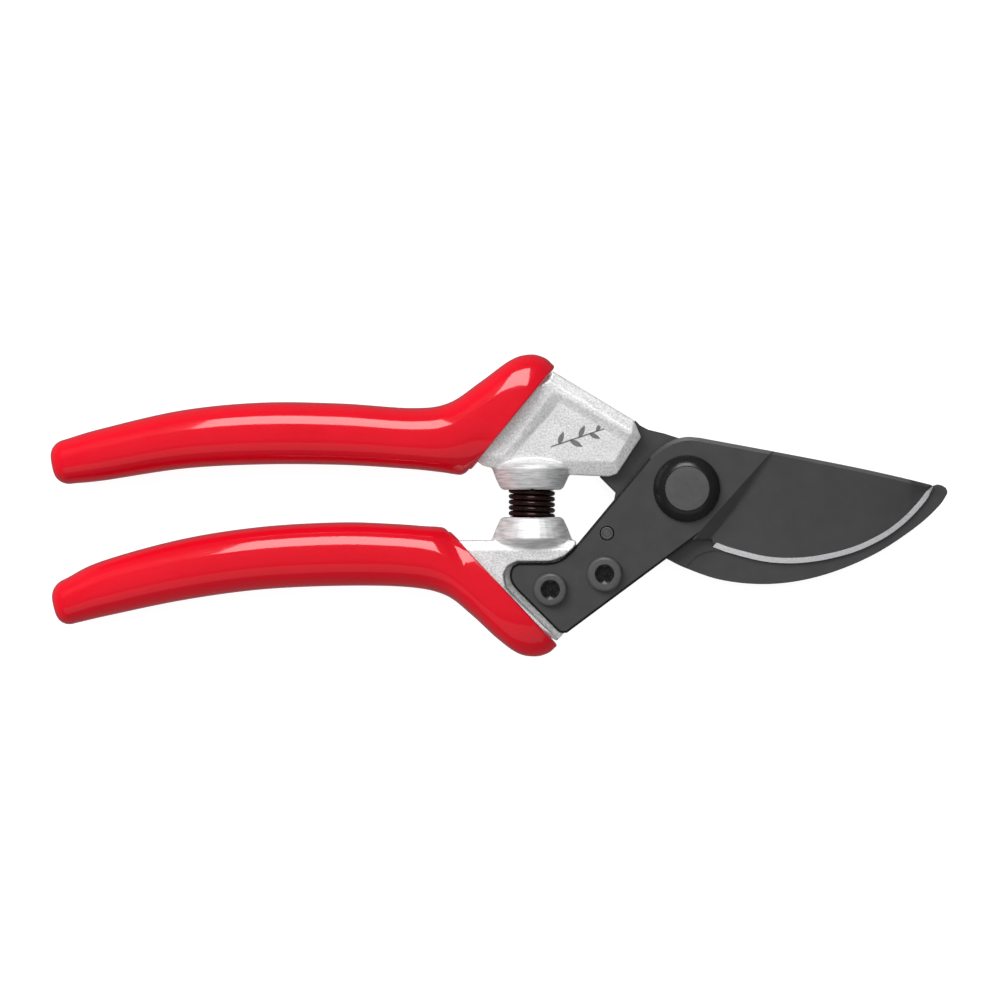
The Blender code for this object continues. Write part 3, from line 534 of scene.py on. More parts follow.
def set_in(outline, widths):
    """Move each edge of a counter-clockwise outline inwards by its own width."""
    out = []
    for k, corner in enumerate(outline):
        before = (corner - outline[k - 1]).normalized()
        after = (outline[(k + 1) % len(outline)] - corner).normalized()
        turn = before.x * after.y - before.y * after.x
        if abs(turn) < NEARLY_STRAIGHT:
            out.append(corner + Vector((-before.y, before.x)) * (widths[k - 1] + widths[k]) / 2)
        else:
            out.append(corner + (after * widths[k - 1] - before * widths[k]) / turn)
    return out


def along(points, share):
    """The point at a share of a polyline's length."""
    lengths = [(b - a).length for a, b in zip(points, points[1:])]
    left = share * sum(lengths)
    for a, b, length in zip(points, points[1:], lengths):
        if left <= length:
            return a.lerp(b, left / length)
        left -= length
    return points[-1].copy()


def plate_outline():
    """The flat part's outline from the grind line round to its foot, and each edge's chamfer."""
    parts = [
        ([Vector(GRIND_FOOT)], 0.0),
        ([Vector(GRIND_HEAD)], SPINE_CHAMFER),
        (drawn_through(EYE_CURVE, PLATE_STEPS), SPINE_CHAMFER),
        (drawn_through(WAIST_CURVE, PLATE_STEPS), PLATE_CHAMFER),
        (drawn_through(TAIL_CORNER, PLATE_STEPS), PLATE_CHAMFER),
        (drawn_through(TOE_CORNER, PLATE_STEPS), PLATE_CHAMFER),
    ]
    outline = [p for points, _ in parts for p in points]
    widths = [w for points, w in parts for _ in points]
    # The eye's points come after the two ends of the grind line
    last_of_eye = 2 + (len(EYE_CURVE) - 1) * PLATE_STEPS
    run_out = EYE_RUN_OUT * PLATE_STEPS
    for k in range(run_out + 1):
        widths[last_of_eye - k] = PLATE_CHAMFER + (SPINE_CHAMFER - PLATE_CHAMFER) * k / run_out
    return outline, widths


def blade_stations():
    """Pairs of points across the ground part, edge side first, from the grind line to the tip."""
    foot, heel = Vector(GRIND_FOOT), Vector(HEEL)
    edge = drawn_through(EDGE_LINE, EDGE_CURVE_STEPS)
    spine = drawn_through(SPINE_LINE, SPINE_CURVE_STEPS)
    pairs = []
    for k in range(HEEL_STATIONS):
        share = k / HEEL_STATIONS
        pairs.append((foot.lerp(heel, share), along(spine, HEEL_SHARE * share)))
    for k in range(CORNER_STATIONS):
        share = k / CORNER_STATIONS
        opposite = HEEL_SHARE + (CORNER_SHARE - HEEL_SHARE) * share
        pairs.append((heel.lerp(edge[0], share), along(spine, opposite)))
    for k in range(EDGE_STATIONS + 1):
        share = k / EDGE_STATIONS
        pairs.append((along(edge, share), along(spine, CORNER_SHARE + (1 - CORNER_SHARE) * share)))
    return pairs


def ground_column(low, high, grind_head, grind_foot, honed, slant):
    """Points up one station: edge, bevel, hollow face and spine chamfer."""
    wide = (high - low).length
    up = (high - low).normalized()
    bevel = min(BEVEL_WIDE * slant if honed else PLATE_CHAMFER, BEVEL_SHARE_MOST * wide)
    chamfer = min(SPINE_CHAMFER, CHAMFER_SHARE_MOST * wide)
    bevel_top = BLADE_BACK + EDGE_LAND + BEVEL_RISE
    full = min(1.0, wide / THINNING_RUN)
    face_top = bevel_top + (BLADE_FRONT - GRIND_DEPTH - bevel_top) * full
    line = (grind_head - grind_foot).normalized()
    points = [(low, BLADE_BACK, False), (low, BLADE_BACK + EDGE_LAND, True)]
    points.append((low + up * bevel, bevel_top, True))
    for k in range(1, FACE_COLUMNS):
        q = k / FACE_COLUMNS
        place = low + up * (bevel + (wide - bevel - chamfer) * q)
        height = bevel_top + (face_top - bevel_top) * q - HOLLOW * full * math.sin(math.pi * q)
        points.append((place, height, True))
    points.append((high - up * chamfer, face_top, True))
    points.append((high, face_top - chamfer * SPINE_CHAMFER_FALL, True))
    points.append((high, BLADE_BACK, False))
    out = []
    for n, (place, height, ramped) in enumerate(points):
        if ramped:
            past = (place - grind_foot).x * line.y - (place - grind_foot).y * line.x
            flat = BLADE_FRONT
            if n == 1:
                flat = BLADE_FRONT - PLATE_CHAMFER
            if n == len(points) - 2:
                flat = BLADE_FRONT - SPINE_CHAMFER * SPINE_CHAMFER_FALL
            height = max(height, flat - PLUNGE_SLOPE * max(0.0, past))
        out.append(Vector((*place, height)))
    return out


def blade_mesh():
    """The flat plate and the ground part in one skin: finish 0 is coating, 1 honed steel, 2 the outline's
    chamfers, darkened as painted shade.
    """
    outline, widths = plate_outline()
    small = set_in(outline, widths)
    drops = [SPINE_CHAMFER * SPINE_CHAMFER_FALL] * len(outline)
    drops[0] = PLATE_CHAMFER
    draw = bmesh.new()
    base = [draw.verts.new((*p, BLADE_BACK)) for p in outline]
    shoulder = [draw.verts.new((*p, BLADE_FRONT - drop)) for p, drop in zip(outline, drops)]
    top = [draw.verts.new((*p, BLADE_FRONT)) for p in small]

    first_honed = HEEL_STATIONS + CORNER_STATIONS
    pairs = blade_stations()
    inner = [small[0].lerp(small[1], n / FACE_COLUMNS) for n in range(1, FACE_COLUMNS)]
    line = [draw.verts.new((*p, BLADE_FRONT)) for p in inner]
    columns = [[base[0], shoulder[0], top[0], *line, top[1], shoulder[1], base[1]]]
    for k, (low, high) in enumerate(pairs[1:], 1):
        ahead = pairs[min(k + 1, len(pairs) - 1)][0]
        run = (ahead - pairs[k - 1][0]).normalized()
        up = (high - low).normalized()
        slant = 1 / max(1 / SLANT_MOST, abs(run.x * up.y - run.y * up.x))
        column = ground_column(low, high, outline[1], outline[0], k >= first_honed, slant)
        columns.append([draw.verts.new(p) for p in column])
    for k, (left, right) in enumerate(zip(columns, columns[1:])):
        for n in range(len(left) - 1):
            face = draw.faces.new((left[n], right[n], right[n + 1], left[n + 1]))
            face.material_index = 1 if k >= first_honed and n == 1 else 0
        draw.faces.new((left[0], left[-1], right[-1], right[0]))
    draw.faces.new(columns[-1])
    draw.faces.new([top[0], *columns[0][3:-3], top[1], *top[2:]])
    draw.faces.new(base)
    for k in range(1, len(outline)):
        after = (k + 1) % len(outline)
        draw.faces.new((base[k], base[after], shoulder[after], shoulder[k]))
        chamfer = draw.faces.new((shoulder[k], shoulder[after], top[after], top[k]))
        # The outline chamfers take the darker finish as painted shade
        chamfer.material_index = 2 if widths[k] == PLATE_CHAMFER else 0
    return draw


def cut_away(piece, cutter):
    """Take another solid's space out of a plate, and mark the new corners sharp."""
    cut = piece.modifiers.new("cut", "BOOLEAN")
    cut.operation = "DIFFERENCE"
    cut.object = cutter
    settled(piece).set_sharp_from_angle(angle=math.radians(PLATE_CREASE))
    bpy.data.objects.remove(cutter)


def drilled(piece, spot, radius):
    """Bore a round hole along Z right through a plate."""
    draw = bmesh.new()
    bmesh.ops.create_cone(draw, cap_ends=True, segments=DRILL_SIDES, radius1=radius * MM, radius2=radius * MM,
                          depth=DRILL_LONG)
    bmesh.ops.translate(draw, vec=(spot[0] * MM, spot[1] * MM, DRILL_MIDDLE), verts=draw.verts)
    mesh = bpy.data.meshes.new("drill")
    draw.to_mesh(mesh)
    draw.free()
    cut_away(piece, put_in_scene("drill", mesh))


def middle_of(node):
    """A node's centre across the tool, in millimetres."""
    low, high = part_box(node)
    return ((low.x + high.x) / 2 / MM, (low.y + high.y) / 2 / MM)


coated_black = black_coating("black_blade_coating", COATING_GREY, 0.40)
# A darker copy of the coating: painted shade on the chamfers round the plate's outline
painted_shade_black = black_coating("black_coating_painted_shade_on_chamfers", CHAMFER_PAINTED_SHADE_GREY, 0.45)
cutting_blade = made_solid("cutting_blade_plate", blade_mesh(), coated_black, honed_steel(), painted_shade_black,
                           crease=PLATE_CREASE)
for fixing, radius in BLADE_HOLES:
    drilled(cutting_blade, middle_of(fixing), radius)
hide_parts("cutting_blade")
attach(cutting_blade, "lower_handle")

# Counter-blade. The hook that the cut branch lies in: a thicker plate of the same black coated steel, its
# tang let into the upper handle. The hook's face is relieved a little from the rim round the pivot.
HOOK_BACK, HOOK_FRONT = (z / MM for z in (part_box("counter_blade")[0].z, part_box("counter_blade")[1].z))
HOOK_OUTSIDE = [(-4.8, -16.8), (-0.1, -19.1), (8.1, -21.9), (17.8, -23.0), (27.3, -22.2), (36.8, -19.6),
                (46.5, -15.2), (55.7, -9.0), (60.9, -4.2), (62.9, -1.3)]
HOOK_TIP = [(62.95, -0.6), (62.6, 0.2), (61.6, 0.8), (60.7, 1.0), (59.8, 0.7)]
HOOK_INSIDE = [(57.6, -0.9), (52.5, -4.6), (45.0, -8.9), (36.0, -12.0), (27.0, -13.2), (18.5, -12.6),
               (13.6, -10.2), (11.9, -6.4)]
HOOK_CURVE_STEPS = 7
# The arcs are in degrees, each with its number of steps. The rim's arc starts a gap past the ear, which is
# the part of the edge that goes round the latch pin
HOOK_EYE_R = 12.0
HOOK_EYE_ARC = (-22, 95, 40)
HOOK_RIM_R = 15.5
HOOK_RIM_END = 250
HOOK_RIM_STEPS = 24
PIN_AXIS = middle_of("lock_pin")
PIN_EAR_R = 3.7
PIN_EAR_ARC = (100, 48, 10)
PIN_EAR_GAP = 2
HOOK_SHOULDER = [(-5.3, 13.3), (-9.1, 14.2), (-11.0, 15.2), (-12.2, 16.4)]
HOOK_TANG = [(-15.5, 15.6), (-28.4, 23.2), (-31.6, 22.6), (-36.2, 14.4), (-34.8, 10.9), (-22.5, 6.2),
             (-20.5, 2.6), (-16.9, -1.0), (-17.4, -3.6)]
HOOK_CHAMFER = 0.4
RELIEF_LINE = [(-1.6, -21.6), (0.2, -18.7), (1.4, -17.2), (3.1, -15.9), (4.9, -15.2), (6.6, -14.9),
               (9.0, -15.0), (12.0, -14.0), (13.0, -9.0), (14.0, -5.0)]
RELIEF_REST = [(66.0, 4.0), (66.0, -26.0), (-1.6, -26.0)]
RELIEF_DEPTH = 0.35
RELIEF_CLEAR = 1.0
HOOK_HOLES = [("pivot_bush", 5.6), ("counter_screw_rear", 2.9), ("counter_screw_front", 2.9)]


def circle_points(centre, radius, start, end, steps):
    """Points on a circle, from one angle to another in degrees."""
    angles = [math.radians(start + (end - start) * k / steps) for k in range(steps + 1)]
    return [Vector((centre[0] + radius * math.cos(a), centre[1] + radius * math.sin(a))) for a in angles]


def at_height(outline, z):
    return [Vector((*p, z)) for p in outline]


pin_ear = circle_points(PIN_AXIS, PIN_EAR_R, *PIN_EAR_ARC)
rim_start = math.degrees(math.atan2(pin_ear[-1].y, pin_ear[-1].x)) % 360 + PIN_EAR_GAP
hook_outline = drawn_through(HOOK_OUTSIDE, HOOK_CURVE_STEPS)
hook_outline += [Vector(p) for p in HOOK_TIP]
hook_outline += drawn_through(HOOK_INSIDE, HOOK_CURVE_STEPS)
hook_outline += circle_points((0, 0), HOOK_EYE_R, *HOOK_EYE_ARC)
hook_outline += [Vector(p) for p in HOOK_SHOULDER + HOOK_TANG]
hook_outline += pin_ear
hook_outline += circle_points((0, 0), HOOK_RIM_R, rim_start, HOOK_RIM_END, HOOK_RIM_STEPS)
smaller = set_in(hook_outline, [HOOK_CHAMFER] * len(hook_outline))
hook_plate = made_solid("counter_blade_plate", skin_over([
    at_height(smaller, HOOK_BACK), at_height(hook_outline, HOOK_BACK + HOOK_CHAMFER),
    at_height(hook_outline, HOOK_FRONT - HOOK_CHAMFER), at_height(smaller, HOOK_FRONT)]), coated_black,
    crease=PLATE_CREASE)
relief = [at_height(RELIEF_LINE + RELIEF_REST, HOOK_FRONT + rise) for rise in (-RELIEF_DEPTH, RELIEF_CLEAR)]
cut_away(hook_plate, made_solid("relief", skin_over(relief)))
for fixing, radius in HOOK_HOLES:
    drilled(hook_plate, middle_of(fixing), radius)
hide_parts("counter_blade")
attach(hook_plate, "upper_handle")

# Pivot. A shouldered bolt with a broad low head turns in a bronze bush; a hexagon nut with a nylon ring
# holds it behind, over a plain washer. The steel is blackened after turning.
ROUND_SIDES = 96
# Each turned piece is a row of (height, radius) points in millimetres
BOLT_PROFILE = [(0.0, 3.3), (0.15, 3.65), (0.5, 4.0), (13.3, 4.0), (13.3, 7.7), (13.4, 7.95), (13.6, 8.0),
                (13.75, 7.97), (13.95, 7.84), (14.8, 7.2), (15.45, 6.6), (15.8, 6.1), (15.97, 5.75),
                (16.06, 5.5), (16.1, 5.25), (16.1, 3.2)]
BOLT_DISC_RING = 14
NUT_ACROSS = 12.0
NUT_TOP = 3.9
NUT_TOP_LIMIT = 9.0
NUT_CROWN = [(0.5, 5.65), (0.62, 5.9), (0.75, 6.15), (0.9, 6.45), (1.05, 6.8), (1.2, 7.2)]
NUT_INSIDE = [(3.9, 4.3), (2.3, 4.3), (2.3, 5.5), (0.6, 5.5), (0.5, 5.58)]
RING_PROFILE = [(0.8, 5.2), (0.8, 4.3), (2.0, 4.3), (2.0, 5.2)]
WASHER_PROFILE = [(4.2, 4.3), (5.0, 4.3), (5.0, 7.25), (4.85, 7.4), (4.35, 7.4), (4.2, 7.25)]
BUSH_PROFILE = [(5.45, 4.3), (5.45, 5.3), (9.15, 5.3), (9.15, 4.3)]
# A much darker copy of the black steel: painted shade in the screws' recesses and on the pivot bolt's steep
# chamfer ring
OXIDE_PAINTED_SHADE = 0.009
FACED_SHADE = 0.072
ZINC_DARK, ZINC_LIGHT = (0.46, 0.47, 0.48), (0.62, 0.62, 0.63)
NYLON_DARK, NYLON_LIGHT = (0.02, 0.07, 0.30), (0.03, 0.10, 0.38)
BRONZE_DARK, BRONZE_LIGHT = (0.42, 0.24, 0.09), (0.56, 0.35, 0.14)


def turned_rings(profile, axis=(0.0, 0.0), sides=ROUND_SIDES):
    return [at_height(circle_points(axis, radius, 0, 360, sides)[:-1], z) for z, radius in profile]


def band_over(rings):
    """A closed skin whose last ring joins the first, for pieces with a hole through them."""
    draw = bmesh.new()
    loops = [[draw.verts.new(p) for p in ring] for ring in rings]
    for here, there in zip(loops, loops[1:] + loops[:1]):
        for k in range(len(here)):
            draw.faces.new((here[k - 1], here[k], there[k], there[k - 1]))
    return draw


def black_oxide(name, shade, roughness):
    """Oily black conversion finish on turned steel, with fine marks from the tool."""
    finish, tree, shader = new_finish(name, Metallic=0.0, IOR=1.5, Specular_IOR_Level=0.5)
    rub = cloud(tree, 900.0, 4.0, 0.6)
    tinted(tree, shader, rub, [0.85 * shade] * 3, [shade] * 3)
    roughened(tree, shader, rub, roughness - 0.03, roughness + 0.05)
    bumped(tree, shader, cloud(tree, 2800.0, 2.0), 0.004 * MM, 0.2)
    return finish


def refinished(piece, first_ring, sides, finish):
    """Give the faces from one ring onwards a second finish."""
    piece.data.materials.append(finish)
    for face in piece.data.polygons[first_ring * sides:]:
        face.material_index = 1


def plain_finish(name, first, second, metallic, roughness):
    """Zinc plate, nylon or bronze: two close shades with fine wear."""
    finish, tree, shader = new_finish(name, Metallic=metallic, IOR=1.45)
    marks = cloud(tree, 500.0, 4.0, 0.6)
    tinted(tree, shader, marks, first, second)
    roughened(tree, shader, marks, roughness - 0.05, roughness + 0.08)
    bumped(tree, shader, cloud(tree, 2200.0, 2.0), 0.012 * MM, 0.3)
    return finish


def nut_ring(height, limit):
    """One section of the nut: the hexagon, held inside the crown's cone near its face."""
    ring = []
    for k in range(ROUND_SIDES):
        a = 2 * math.pi * k / ROUND_SIDES
        flat = NUT_ACROSS / 2 / math.cos((a % (math.pi / 3)) - math.pi / 6)
        radius = min(flat, limit)
        ring.append((radius * math.cos(a), radius * math.sin(a), height))
    return ring


painted_shade_oxide = black_oxide("black_oxide_steel_painted_shade", OXIDE_PAINTED_SHADE, 0.26)
faced = black_oxide("faced_black_steel", FACED_SHADE, 0.36)
zinc = plain_finish("zinc_plated_steel", ZINC_DARK, ZINC_LIGHT, 1.0, 0.3)
# The bolt's chamfer ring and shank take the darker copy as painted shade; the flat disc on top takes the
# plain black steel
bolt = made_solid("pivot_bolt_turned", skin_over(turned_rings(BOLT_PROFILE)), painted_shade_oxide)
refinished(bolt, BOLT_DISC_RING, ROUND_SIDES, faced)
nut_rings = [nut_ring(height, limit) for height, limit in NUT_CROWN + [(NUT_TOP, NUT_TOP_LIMIT)]]
nut = made_solid("pivot_nut_hexagon", band_over(nut_rings + turned_rings(NUT_INSIDE)), faced)
nylon_ring = made_solid("pivot_nut_nylon", band_over(turned_rings(RING_PROFILE)),
                        plain_finish("blue_nylon", NYLON_DARK, NYLON_LIGHT, 0.0, 0.5))
washer = made_solid("pivot_washer_flat", band_over(turned_rings(WASHER_PROFILE)), zinc)
bush = made_solid("pivot_bush_bronze", band_over(turned_rings(BUSH_PROFILE)),
                  plain_finish("sintered_bronze", BRONZE_DARK, BRONZE_LIGHT, 1.0, 0.42))
for piece, node, slot, body in (
    (bolt, "pivot_bolt", "black_fastener", "lower_handle"),
    (nut, "pivot_nut", "black_fastener", "lower_handle"),
    (nylon_ring, "pivot_nut_ring", "nylon", "lower_handle"),
    (washer, "pivot_washer", "bright_steel", "lower_handle"),
    (bush, "pivot_bush", "bronze", "upper_handle"),
):
    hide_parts(node)
    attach(piece, body)

# Blade screws. Button heads with a six-lobe security recess; two hold the cutting blade from the front
# and two hold the counter-blade's tang from the back, all threaded into the aluminium.
SCREW_SIDES = 72
SHANK_R = 2.6
SHANK_POINT = 0.4
UNDERCUT = 0.1
# Each row is one screw: its node, head radius, the heights of its seat and face, and the body it holds to
SCREWS = [
    ("blade_screw_rear", 4.0, 13.3, 14.8, "lower_handle"),
    ("blade_screw_front", 4.2, 13.3, 14.8, "lower_handle"),
    ("counter_screw_rear", 4.0, 5.0, 3.1, "upper_handle"),
    ("counter_screw_front", 4.0, 5.0, 3.1, "upper_handle"),
]
# Each row rounds the head: how far below its face, and how far in from its side
HEAD_ROUND = [(0.75, 0.0), (0.45, 0.06), (0.2, 0.22), (0.05, 0.45), (0.0, 0.75)]
# The recess, as depths below the face: its countersink with radii, then its lobes with how much they grow
COUNTERSINK = [(0.0, 2.45), (0.12, 2.3)]
RECESS_RING = 11
RECESS_DEEP = 1.15
RECESS_LOBES = [(0.3, 1.1), (0.42, 1.0), (RECESS_DEEP, 0.96)]
CENTRE_PIN = [(RECESS_DEEP, 0.5), (0.35, 0.5), (0.27, 0.4)]
LOBE_COUNT = 6
LOBE_MEAN = 1.75
LOBE_SWING = 0.24


def lobed(axis, height, grow):
    ring = []
    for k in range(SCREW_SIDES):
        a = 2 * math.pi * k / SCREW_SIDES
        radius = (LOBE_MEAN + LOBE_SWING * math.cos(LOBE_COUNT * a)) * grow
        ring.append((axis[0] + radius * math.cos(a), axis[1] + radius * math.sin(a), height))
    return ring


def screw_rings(axis, head_r, end, seat, face):
    """Shank end, head and recess; the face may lie above or below the seat."""
    way = math.copysign(1.0, face - seat)
    outside = [(end, SHANK_R - SHANK_POINT), (end + way * SHANK_POINT, SHANK_R), (seat, SHANK_R)]
    outside += [(seat, head_r - UNDERCUT), (seat + way * UNDERCUT, head_r)]
    outside += [(face - way * down, head_r - inward) for down, inward in HEAD_ROUND]
    outside += [(face - way * down, radius) for down, radius in COUNTERSINK]
    recess = [lobed(axis, face - way * down, grow) for down, grow in RECESS_LOBES]
    centre_pin = [(face - way * down, radius) for down, radius in CENTRE_PIN]
    return turned_rings(outside, axis, SCREW_SIDES) + recess + turned_rings(centre_pin, axis, SCREW_SIDES)


for node, head_r, seat, face, body in SCREWS:
    low, high = (p.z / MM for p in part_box(node))
    end = low if face > seat else high
    rings = screw_rings(middle_of(node), head_r, end, seat, face)
    screw = made_solid(node + "_button_head", skin_over(rings), faced)
    # The recess takes the darker copy as painted shade
    refinished(screw, RECESS_RING, SCREW_SIDES, painted_shade_oxide)
    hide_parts(node)
    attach(screw, body)

# Spring. A compression coil of oiled spring steel between the two forged seats, its end turns closed up
# and square, so it stays seated while the handles swing apart.
COIL_X = -37.1
COIL_Z = 9.0
COIL_OUTSIDE_R = 5.6
COIL_WIRE = 1.15
COIL_TURNS = 10.5
COIL_LOW = -10.53
COIL_HIGH = 3.43
COIL_STEPS = 40
COIL_WIRE_SIDES = 14
CLOSED_TURNS = 1.0
CLOSED_PITCH = 1.2
OILED_DARK = (0.020, 0.008, 0.008)
OILED_LIGHT = (0.050, 0.016, 0.014)


def coil_height(turn):
    """How far along the axis the wire has climbed; the first and last turns lie close together."""
    closed = CLOSED_TURNS * CLOSED_PITCH
    middle_pitch = (COIL_HIGH - COIL_LOW - 2 * closed) / (COIL_TURNS - 2 * CLOSED_TURNS)
    if turn < CLOSED_TURNS:
        return COIL_LOW + turn * CLOSED_PITCH
    if turn > COIL_TURNS - CLOSED_TURNS:
        return COIL_HIGH - (COIL_TURNS - turn) * CLOSED_PITCH
    return COIL_LOW + closed + (turn - CLOSED_TURNS) * middle_pitch


def spring_steel():
    finish, tree, shader = new_finish("oiled_spring_steel", Metallic=0.8, IOR=1.5, Coat_Weight=0.3,
                                      Coat_Roughness=0.15)
    drawn = cloud(tree, 900.0, 3.0)
    tinted(tree, shader, drawn, OILED_DARK, OILED_LIGHT)
    roughened(tree, shader, drawn, 0.24, 0.38)
    bumped(tree, shader, drawn, 0.01 * MM, 0.4)
    return finish


coil_rings = []
shares = []
for k in range(int(COIL_TURNS * COIL_STEPS) + 1):
    turn = k / COIL_STEPS
    a = 2 * math.pi * turn
    out = Vector((math.cos(a), 0, math.sin(a)))
    centre = Vector((COIL_X, coil_height(turn), COIL_Z)) + out * (COIL_OUTSIDE_R - COIL_WIRE / 2)
    ring = []
    for j in range(COIL_WIRE_SIDES):
        b = 2 * math.pi * j / COIL_WIRE_SIDES
        ring.append(centre + (out * math.cos(b) + Vector((0, 1, 0)) * math.sin(b)) * COIL_WIRE / 2)
    coil_rings.append(ring)
    shares += [(coil_height(turn) - COIL_LOW) / (COIL_HIGH - COIL_LOW)] * COIL_WIRE_SIDES
coil = made_solid("return_spring_coil", skin_over(coil_rings), spring_steel())
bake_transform(coil)
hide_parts("return_spring")

# Latch. A pressed steel lever behind the pivot turns on a pin staked in the blade, held by a spring
# washer; its claw hooks over a stud on the counter-blade, and its ribbed tail takes the thumb.
STUD_AXIS = middle_of("lock_stud")
LEVER_BACK, LEVER_FRONT = (z / MM for z in (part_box("lock_lever")[0].z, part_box("lock_lever")[1].z))
LEVER_HUB = 3.5
LEVER_ARM = 3.4
LEVER_NECK = 1.7
LEVER_SWING = 14.0
CLAW_PLAY = 1.6
TAIL_REACH = 11.5
TAIL_HALF = 2.5
LEVER_CHAMFER = 0.25
LEVER_HOLE = 1.8
# Arcs of the hub in degrees, with the number of steps
HUB_NEAR_ARC = (-136, -60, 14)
HUB_FAR_ARC = (50, 136, 16)
RIB_START = 1.4 - TAIL_REACH
RIB_HALF = TAIL_HALF - 0.5
RIB_WIDE = 0.55
RIB_DRAFT = 0.15
RIB_PITCH = 1.3
RIB_COUNT = 4
RIB_HIGH = 0.3
RIB_SUNK = 0.1
PIN_PROFILE = [(0.2, 2.4), (0.25, 2.6), (0.4, 2.88), (0.6, 3.0), (1.0, 3.0), (1.1, 2.9), (1.1, 1.5),
               (12.95, 1.5), (13.05, 1.45), (13.1, 1.35), (13.1, 1.12), (12.98, 1.02), (12.98, 0.86),
               (13.06, 0.76)]
SPRING_WASHER_PROFILE = [(3.1, 1.8), (3.5, 1.8), (3.5, 3.42), (3.42, 3.5), (3.18, 3.5), (3.1, 3.42)]
STUD_PROFILE = [(1.2, 1.0), (1.27, 1.2), (1.42, 1.3), (4.9, 1.3), (5.0, 1.2), (5.0, 1.0), (8.2, 1.0)]


def joined(draw, part):
    """Add one closed skin to a drawing."""
    bmesh.ops.recalc_face_normals(part, faces=part.faces)
    mesh = bpy.data.meshes.new("part")
    part.to_mesh(mesh)
    part.free()
    draw.from_mesh(mesh)


def box_corners(left, right, half):
    return [(left, -half), (right, -half), (right, half), (left, half)]


pin_to_stud = Vector(STUD_AXIS) - Vector(PIN_AXIS)
throat = pin_to_stud.length - CLAW_PLAY
over = pin_to_stud.length + CLAW_PLAY
end, half = -TAIL_REACH, TAIL_HALF
foot, neck = -LEVER_ARM, -LEVER_NECK
# Corner points of the thumb end and of the claw, measured from the pin along the lever and across it
tail = [(end + 1.2, half), (end + 0.35, half - 0.35), (end, half - 1.2),
        (end, 1.2 - half), (end + 0.35, 0.35 - half), (end + 1.2, -half)]
claw = [(throat - 3, foot), (over + 1.0, foot), (over + 1.55, foot + 0.25), (over + 1.8, foot + 0.8),
        (over + 1.8, -0.4), (over + 1.55, 0.3), (over + 1.0, 0.6), (over + 0.3, 0.5), (over, 0.2),
        (over, neck + 0.3), (over - 0.3, neck), (throat + 0.3, neck), (throat, neck + 0.3), (throat, 0.2),
        (throat - 0.6, 0.5)]
lever_outline = [Vector(p) for p in tail]
lever_outline += circle_points((0, 0), LEVER_HUB, *HUB_NEAR_ARC)
lever_outline += [Vector(p) for p in claw]
lever_outline += circle_points((0, 0), LEVER_HUB, *HUB_FAR_ARC)
lever_inside = set_in(lever_outline, [LEVER_CHAMFER] * len(lever_outline))
lever_draw = skin_over([
    at_height(lever_inside, LEVER_BACK), at_height(lever_outline, LEVER_BACK + LEVER_CHAMFER),
    at_height(lever_outline, LEVER_FRONT - LEVER_CHAMFER), at_height(lever_inside, LEVER_FRONT)])
for k in range(RIB_COUNT):
    left = RIB_START + k * RIB_PITCH
    rib_foot = box_corners(left, left + RIB_WIDE, RIB_HALF)
    rib_top = box_corners(left + RIB_DRAFT, left + RIB_WIDE - RIB_DRAFT, RIB_HALF - RIB_DRAFT)
    joined(lever_draw, skin_over([at_height(rib_foot, LEVER_BACK + RIB_SUNK), at_height(rib_foot, LEVER_BACK),
                                  at_height(rib_top, LEVER_BACK - RIB_HIGH)]))
lever_turn = math.atan2(pin_to_stud.y, pin_to_stud.x) - math.radians(LEVER_SWING)
bmesh.ops.rotate(lever_draw, matrix=Matrix.Rotation(lever_turn, 3, "Z"), verts=lever_draw.verts)
bmesh.ops.translate(lever_draw, vec=(*PIN_AXIS, 0), verts=lever_draw.verts)
lever = made_solid("lock_lever_pressed", lever_draw, zinc)
drilled(lever, PIN_AXIS, LEVER_HOLE)
pin = made_solid("lock_pin_staked", skin_over(turned_rings(PIN_PROFILE, PIN_AXIS)), faced)
sprung_rings = turned_rings(SPRING_WASHER_PROFILE, PIN_AXIS)
spring_washer = made_solid("lock_washer_sprung", band_over(sprung_rings), zinc)
stud = made_solid("lock_stud_turned", skin_over(turned_rings(STUD_PROFILE, STUD_AXIS)), faced)
for piece, node, slot, body in (
    (lever, "lock_lever", "bright_steel", "latch"),
    (pin, "lock_pin", "black_fastener", "lower_handle"),
    (spring_washer, "lock_washer", "bright_steel", "lower_handle"),
    (stud, "lock_stud", "black_fastener", "upper_handle"),
):
    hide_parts(node)
    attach(piece, body)

# Mark. A plain leaf sprig is etched dark in the sunk panel of the upper head, for decoration only. It is laid
# as thin chips let into the panel's floor, so that its outline is in the mesh.
SPRIG_START = Vector((-32.6, 10.0))
SPRIG_END = Vector((-19.0, 14.6))
SPRIG_STEM = 0.16
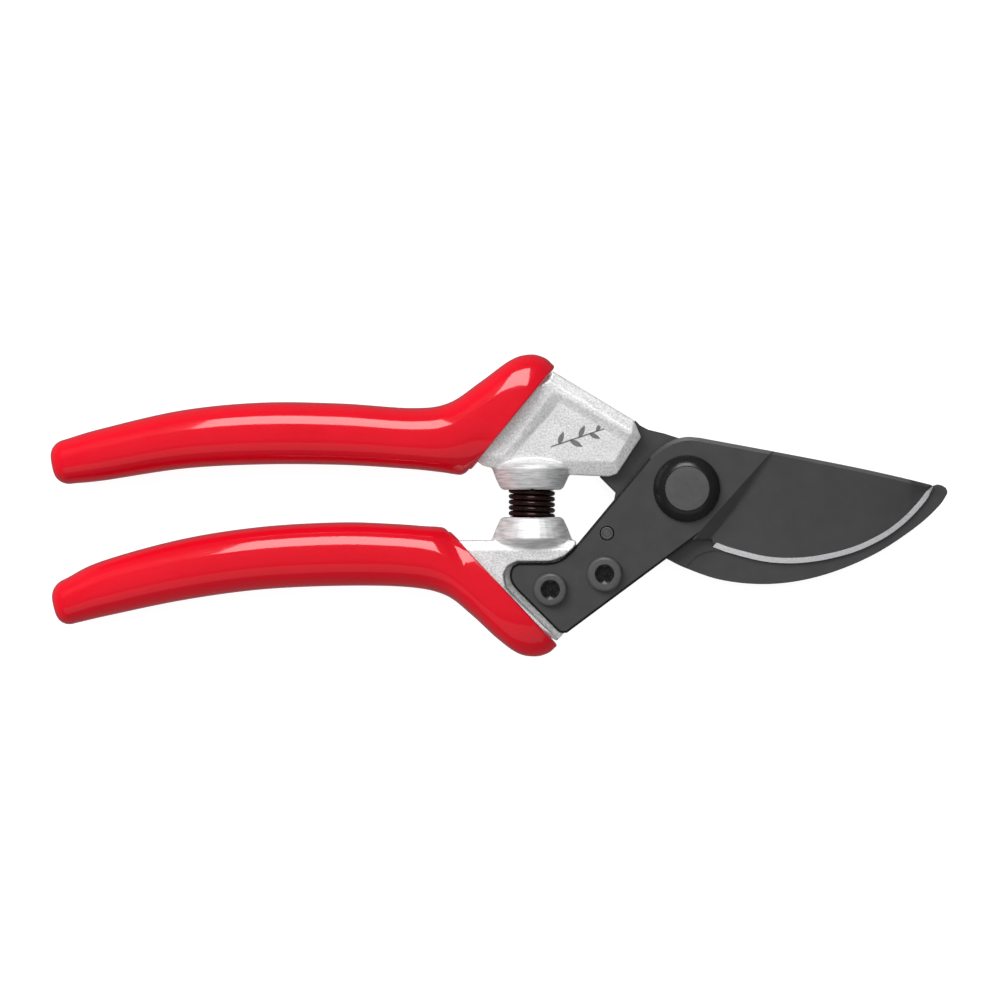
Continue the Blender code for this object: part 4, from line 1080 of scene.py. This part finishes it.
# Each row is one leaf: its share of the way along the stem, its lean in degrees and its length
SPRIG_LEAVES = [(0.14, 50, 3.3), (0.34, -46, 3.4), (0.50, 46, 3.2), (0.68, -42, 2.9), (0.80, 40, 2.5),
                (0.98, 0, 3.0)]
LEAF_FATNESS = 0.38
LEAF_BELLY = 0.85
LEAF_STEPS = 12
MARK_THICK = 0.05
PANEL_FLOOR = 13.3
ETCHED_DARK = (0.10, 0.095, 0.09)
ETCHED_LIGHT = (0.24, 0.235, 0.23)
stem = SPRIG_END - SPRIG_START


def side_of(way):
    return Vector((-way.y, way.x))


def leaf_outline(root, lean, length):
    """A pointed leaf that leans from the stem's own direction."""
    turn = math.atan2(stem.y, stem.x) + math.radians(lean)
    leaf_way = Vector((math.cos(turn), math.sin(turn)))
    right = []
    left = []
    for k in range(LEAF_STEPS + 1):
        t = k / LEAF_STEPS
        half = length * LEAF_FATNESS * math.sin(math.pi * t ** LEAF_BELLY) * 0.5
        right.append(root + leaf_way * length * t - side_of(leaf_way) * half)
        left.append(root + leaf_way * length * t + side_of(leaf_way) * half)
    return right[1:] + left[-2::-1]


def etched():
    finish, tree, shader = new_finish("etched_mark", Metallic=0.2, IOR=1.45)
    grain = cloud(tree, 2300.0, 4.0, 0.75)
    tinted(tree, shader, grain, ETCHED_DARK, ETCHED_LIGHT)
    roughened(tree, shader, grain, 0.5, 0.7)
    return finish


stem_side = side_of(stem.normalized()) * SPRIG_STEM
shapes = [[SPRIG_START - stem_side, SPRIG_END - stem_side, SPRIG_END + stem_side, SPRIG_START + stem_side]]
for share, lean, length in SPRIG_LEAVES:
    shapes.append(leaf_outline(SPRIG_START.lerp(SPRIG_END, share), lean, length))
mark_draw = bmesh.new()
for shape in shapes:
    joined(mark_draw, skin_over([at_height(shape, PANEL_FLOOR - MARK_THICK),
                                 at_height(shape, PANEL_FLOOR + MARK_THICK)]))
mark = made_solid("panel_leaf_mark", mark_draw, etched())
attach(mark, "upper_handle")

bpy.context.view_layer.update()
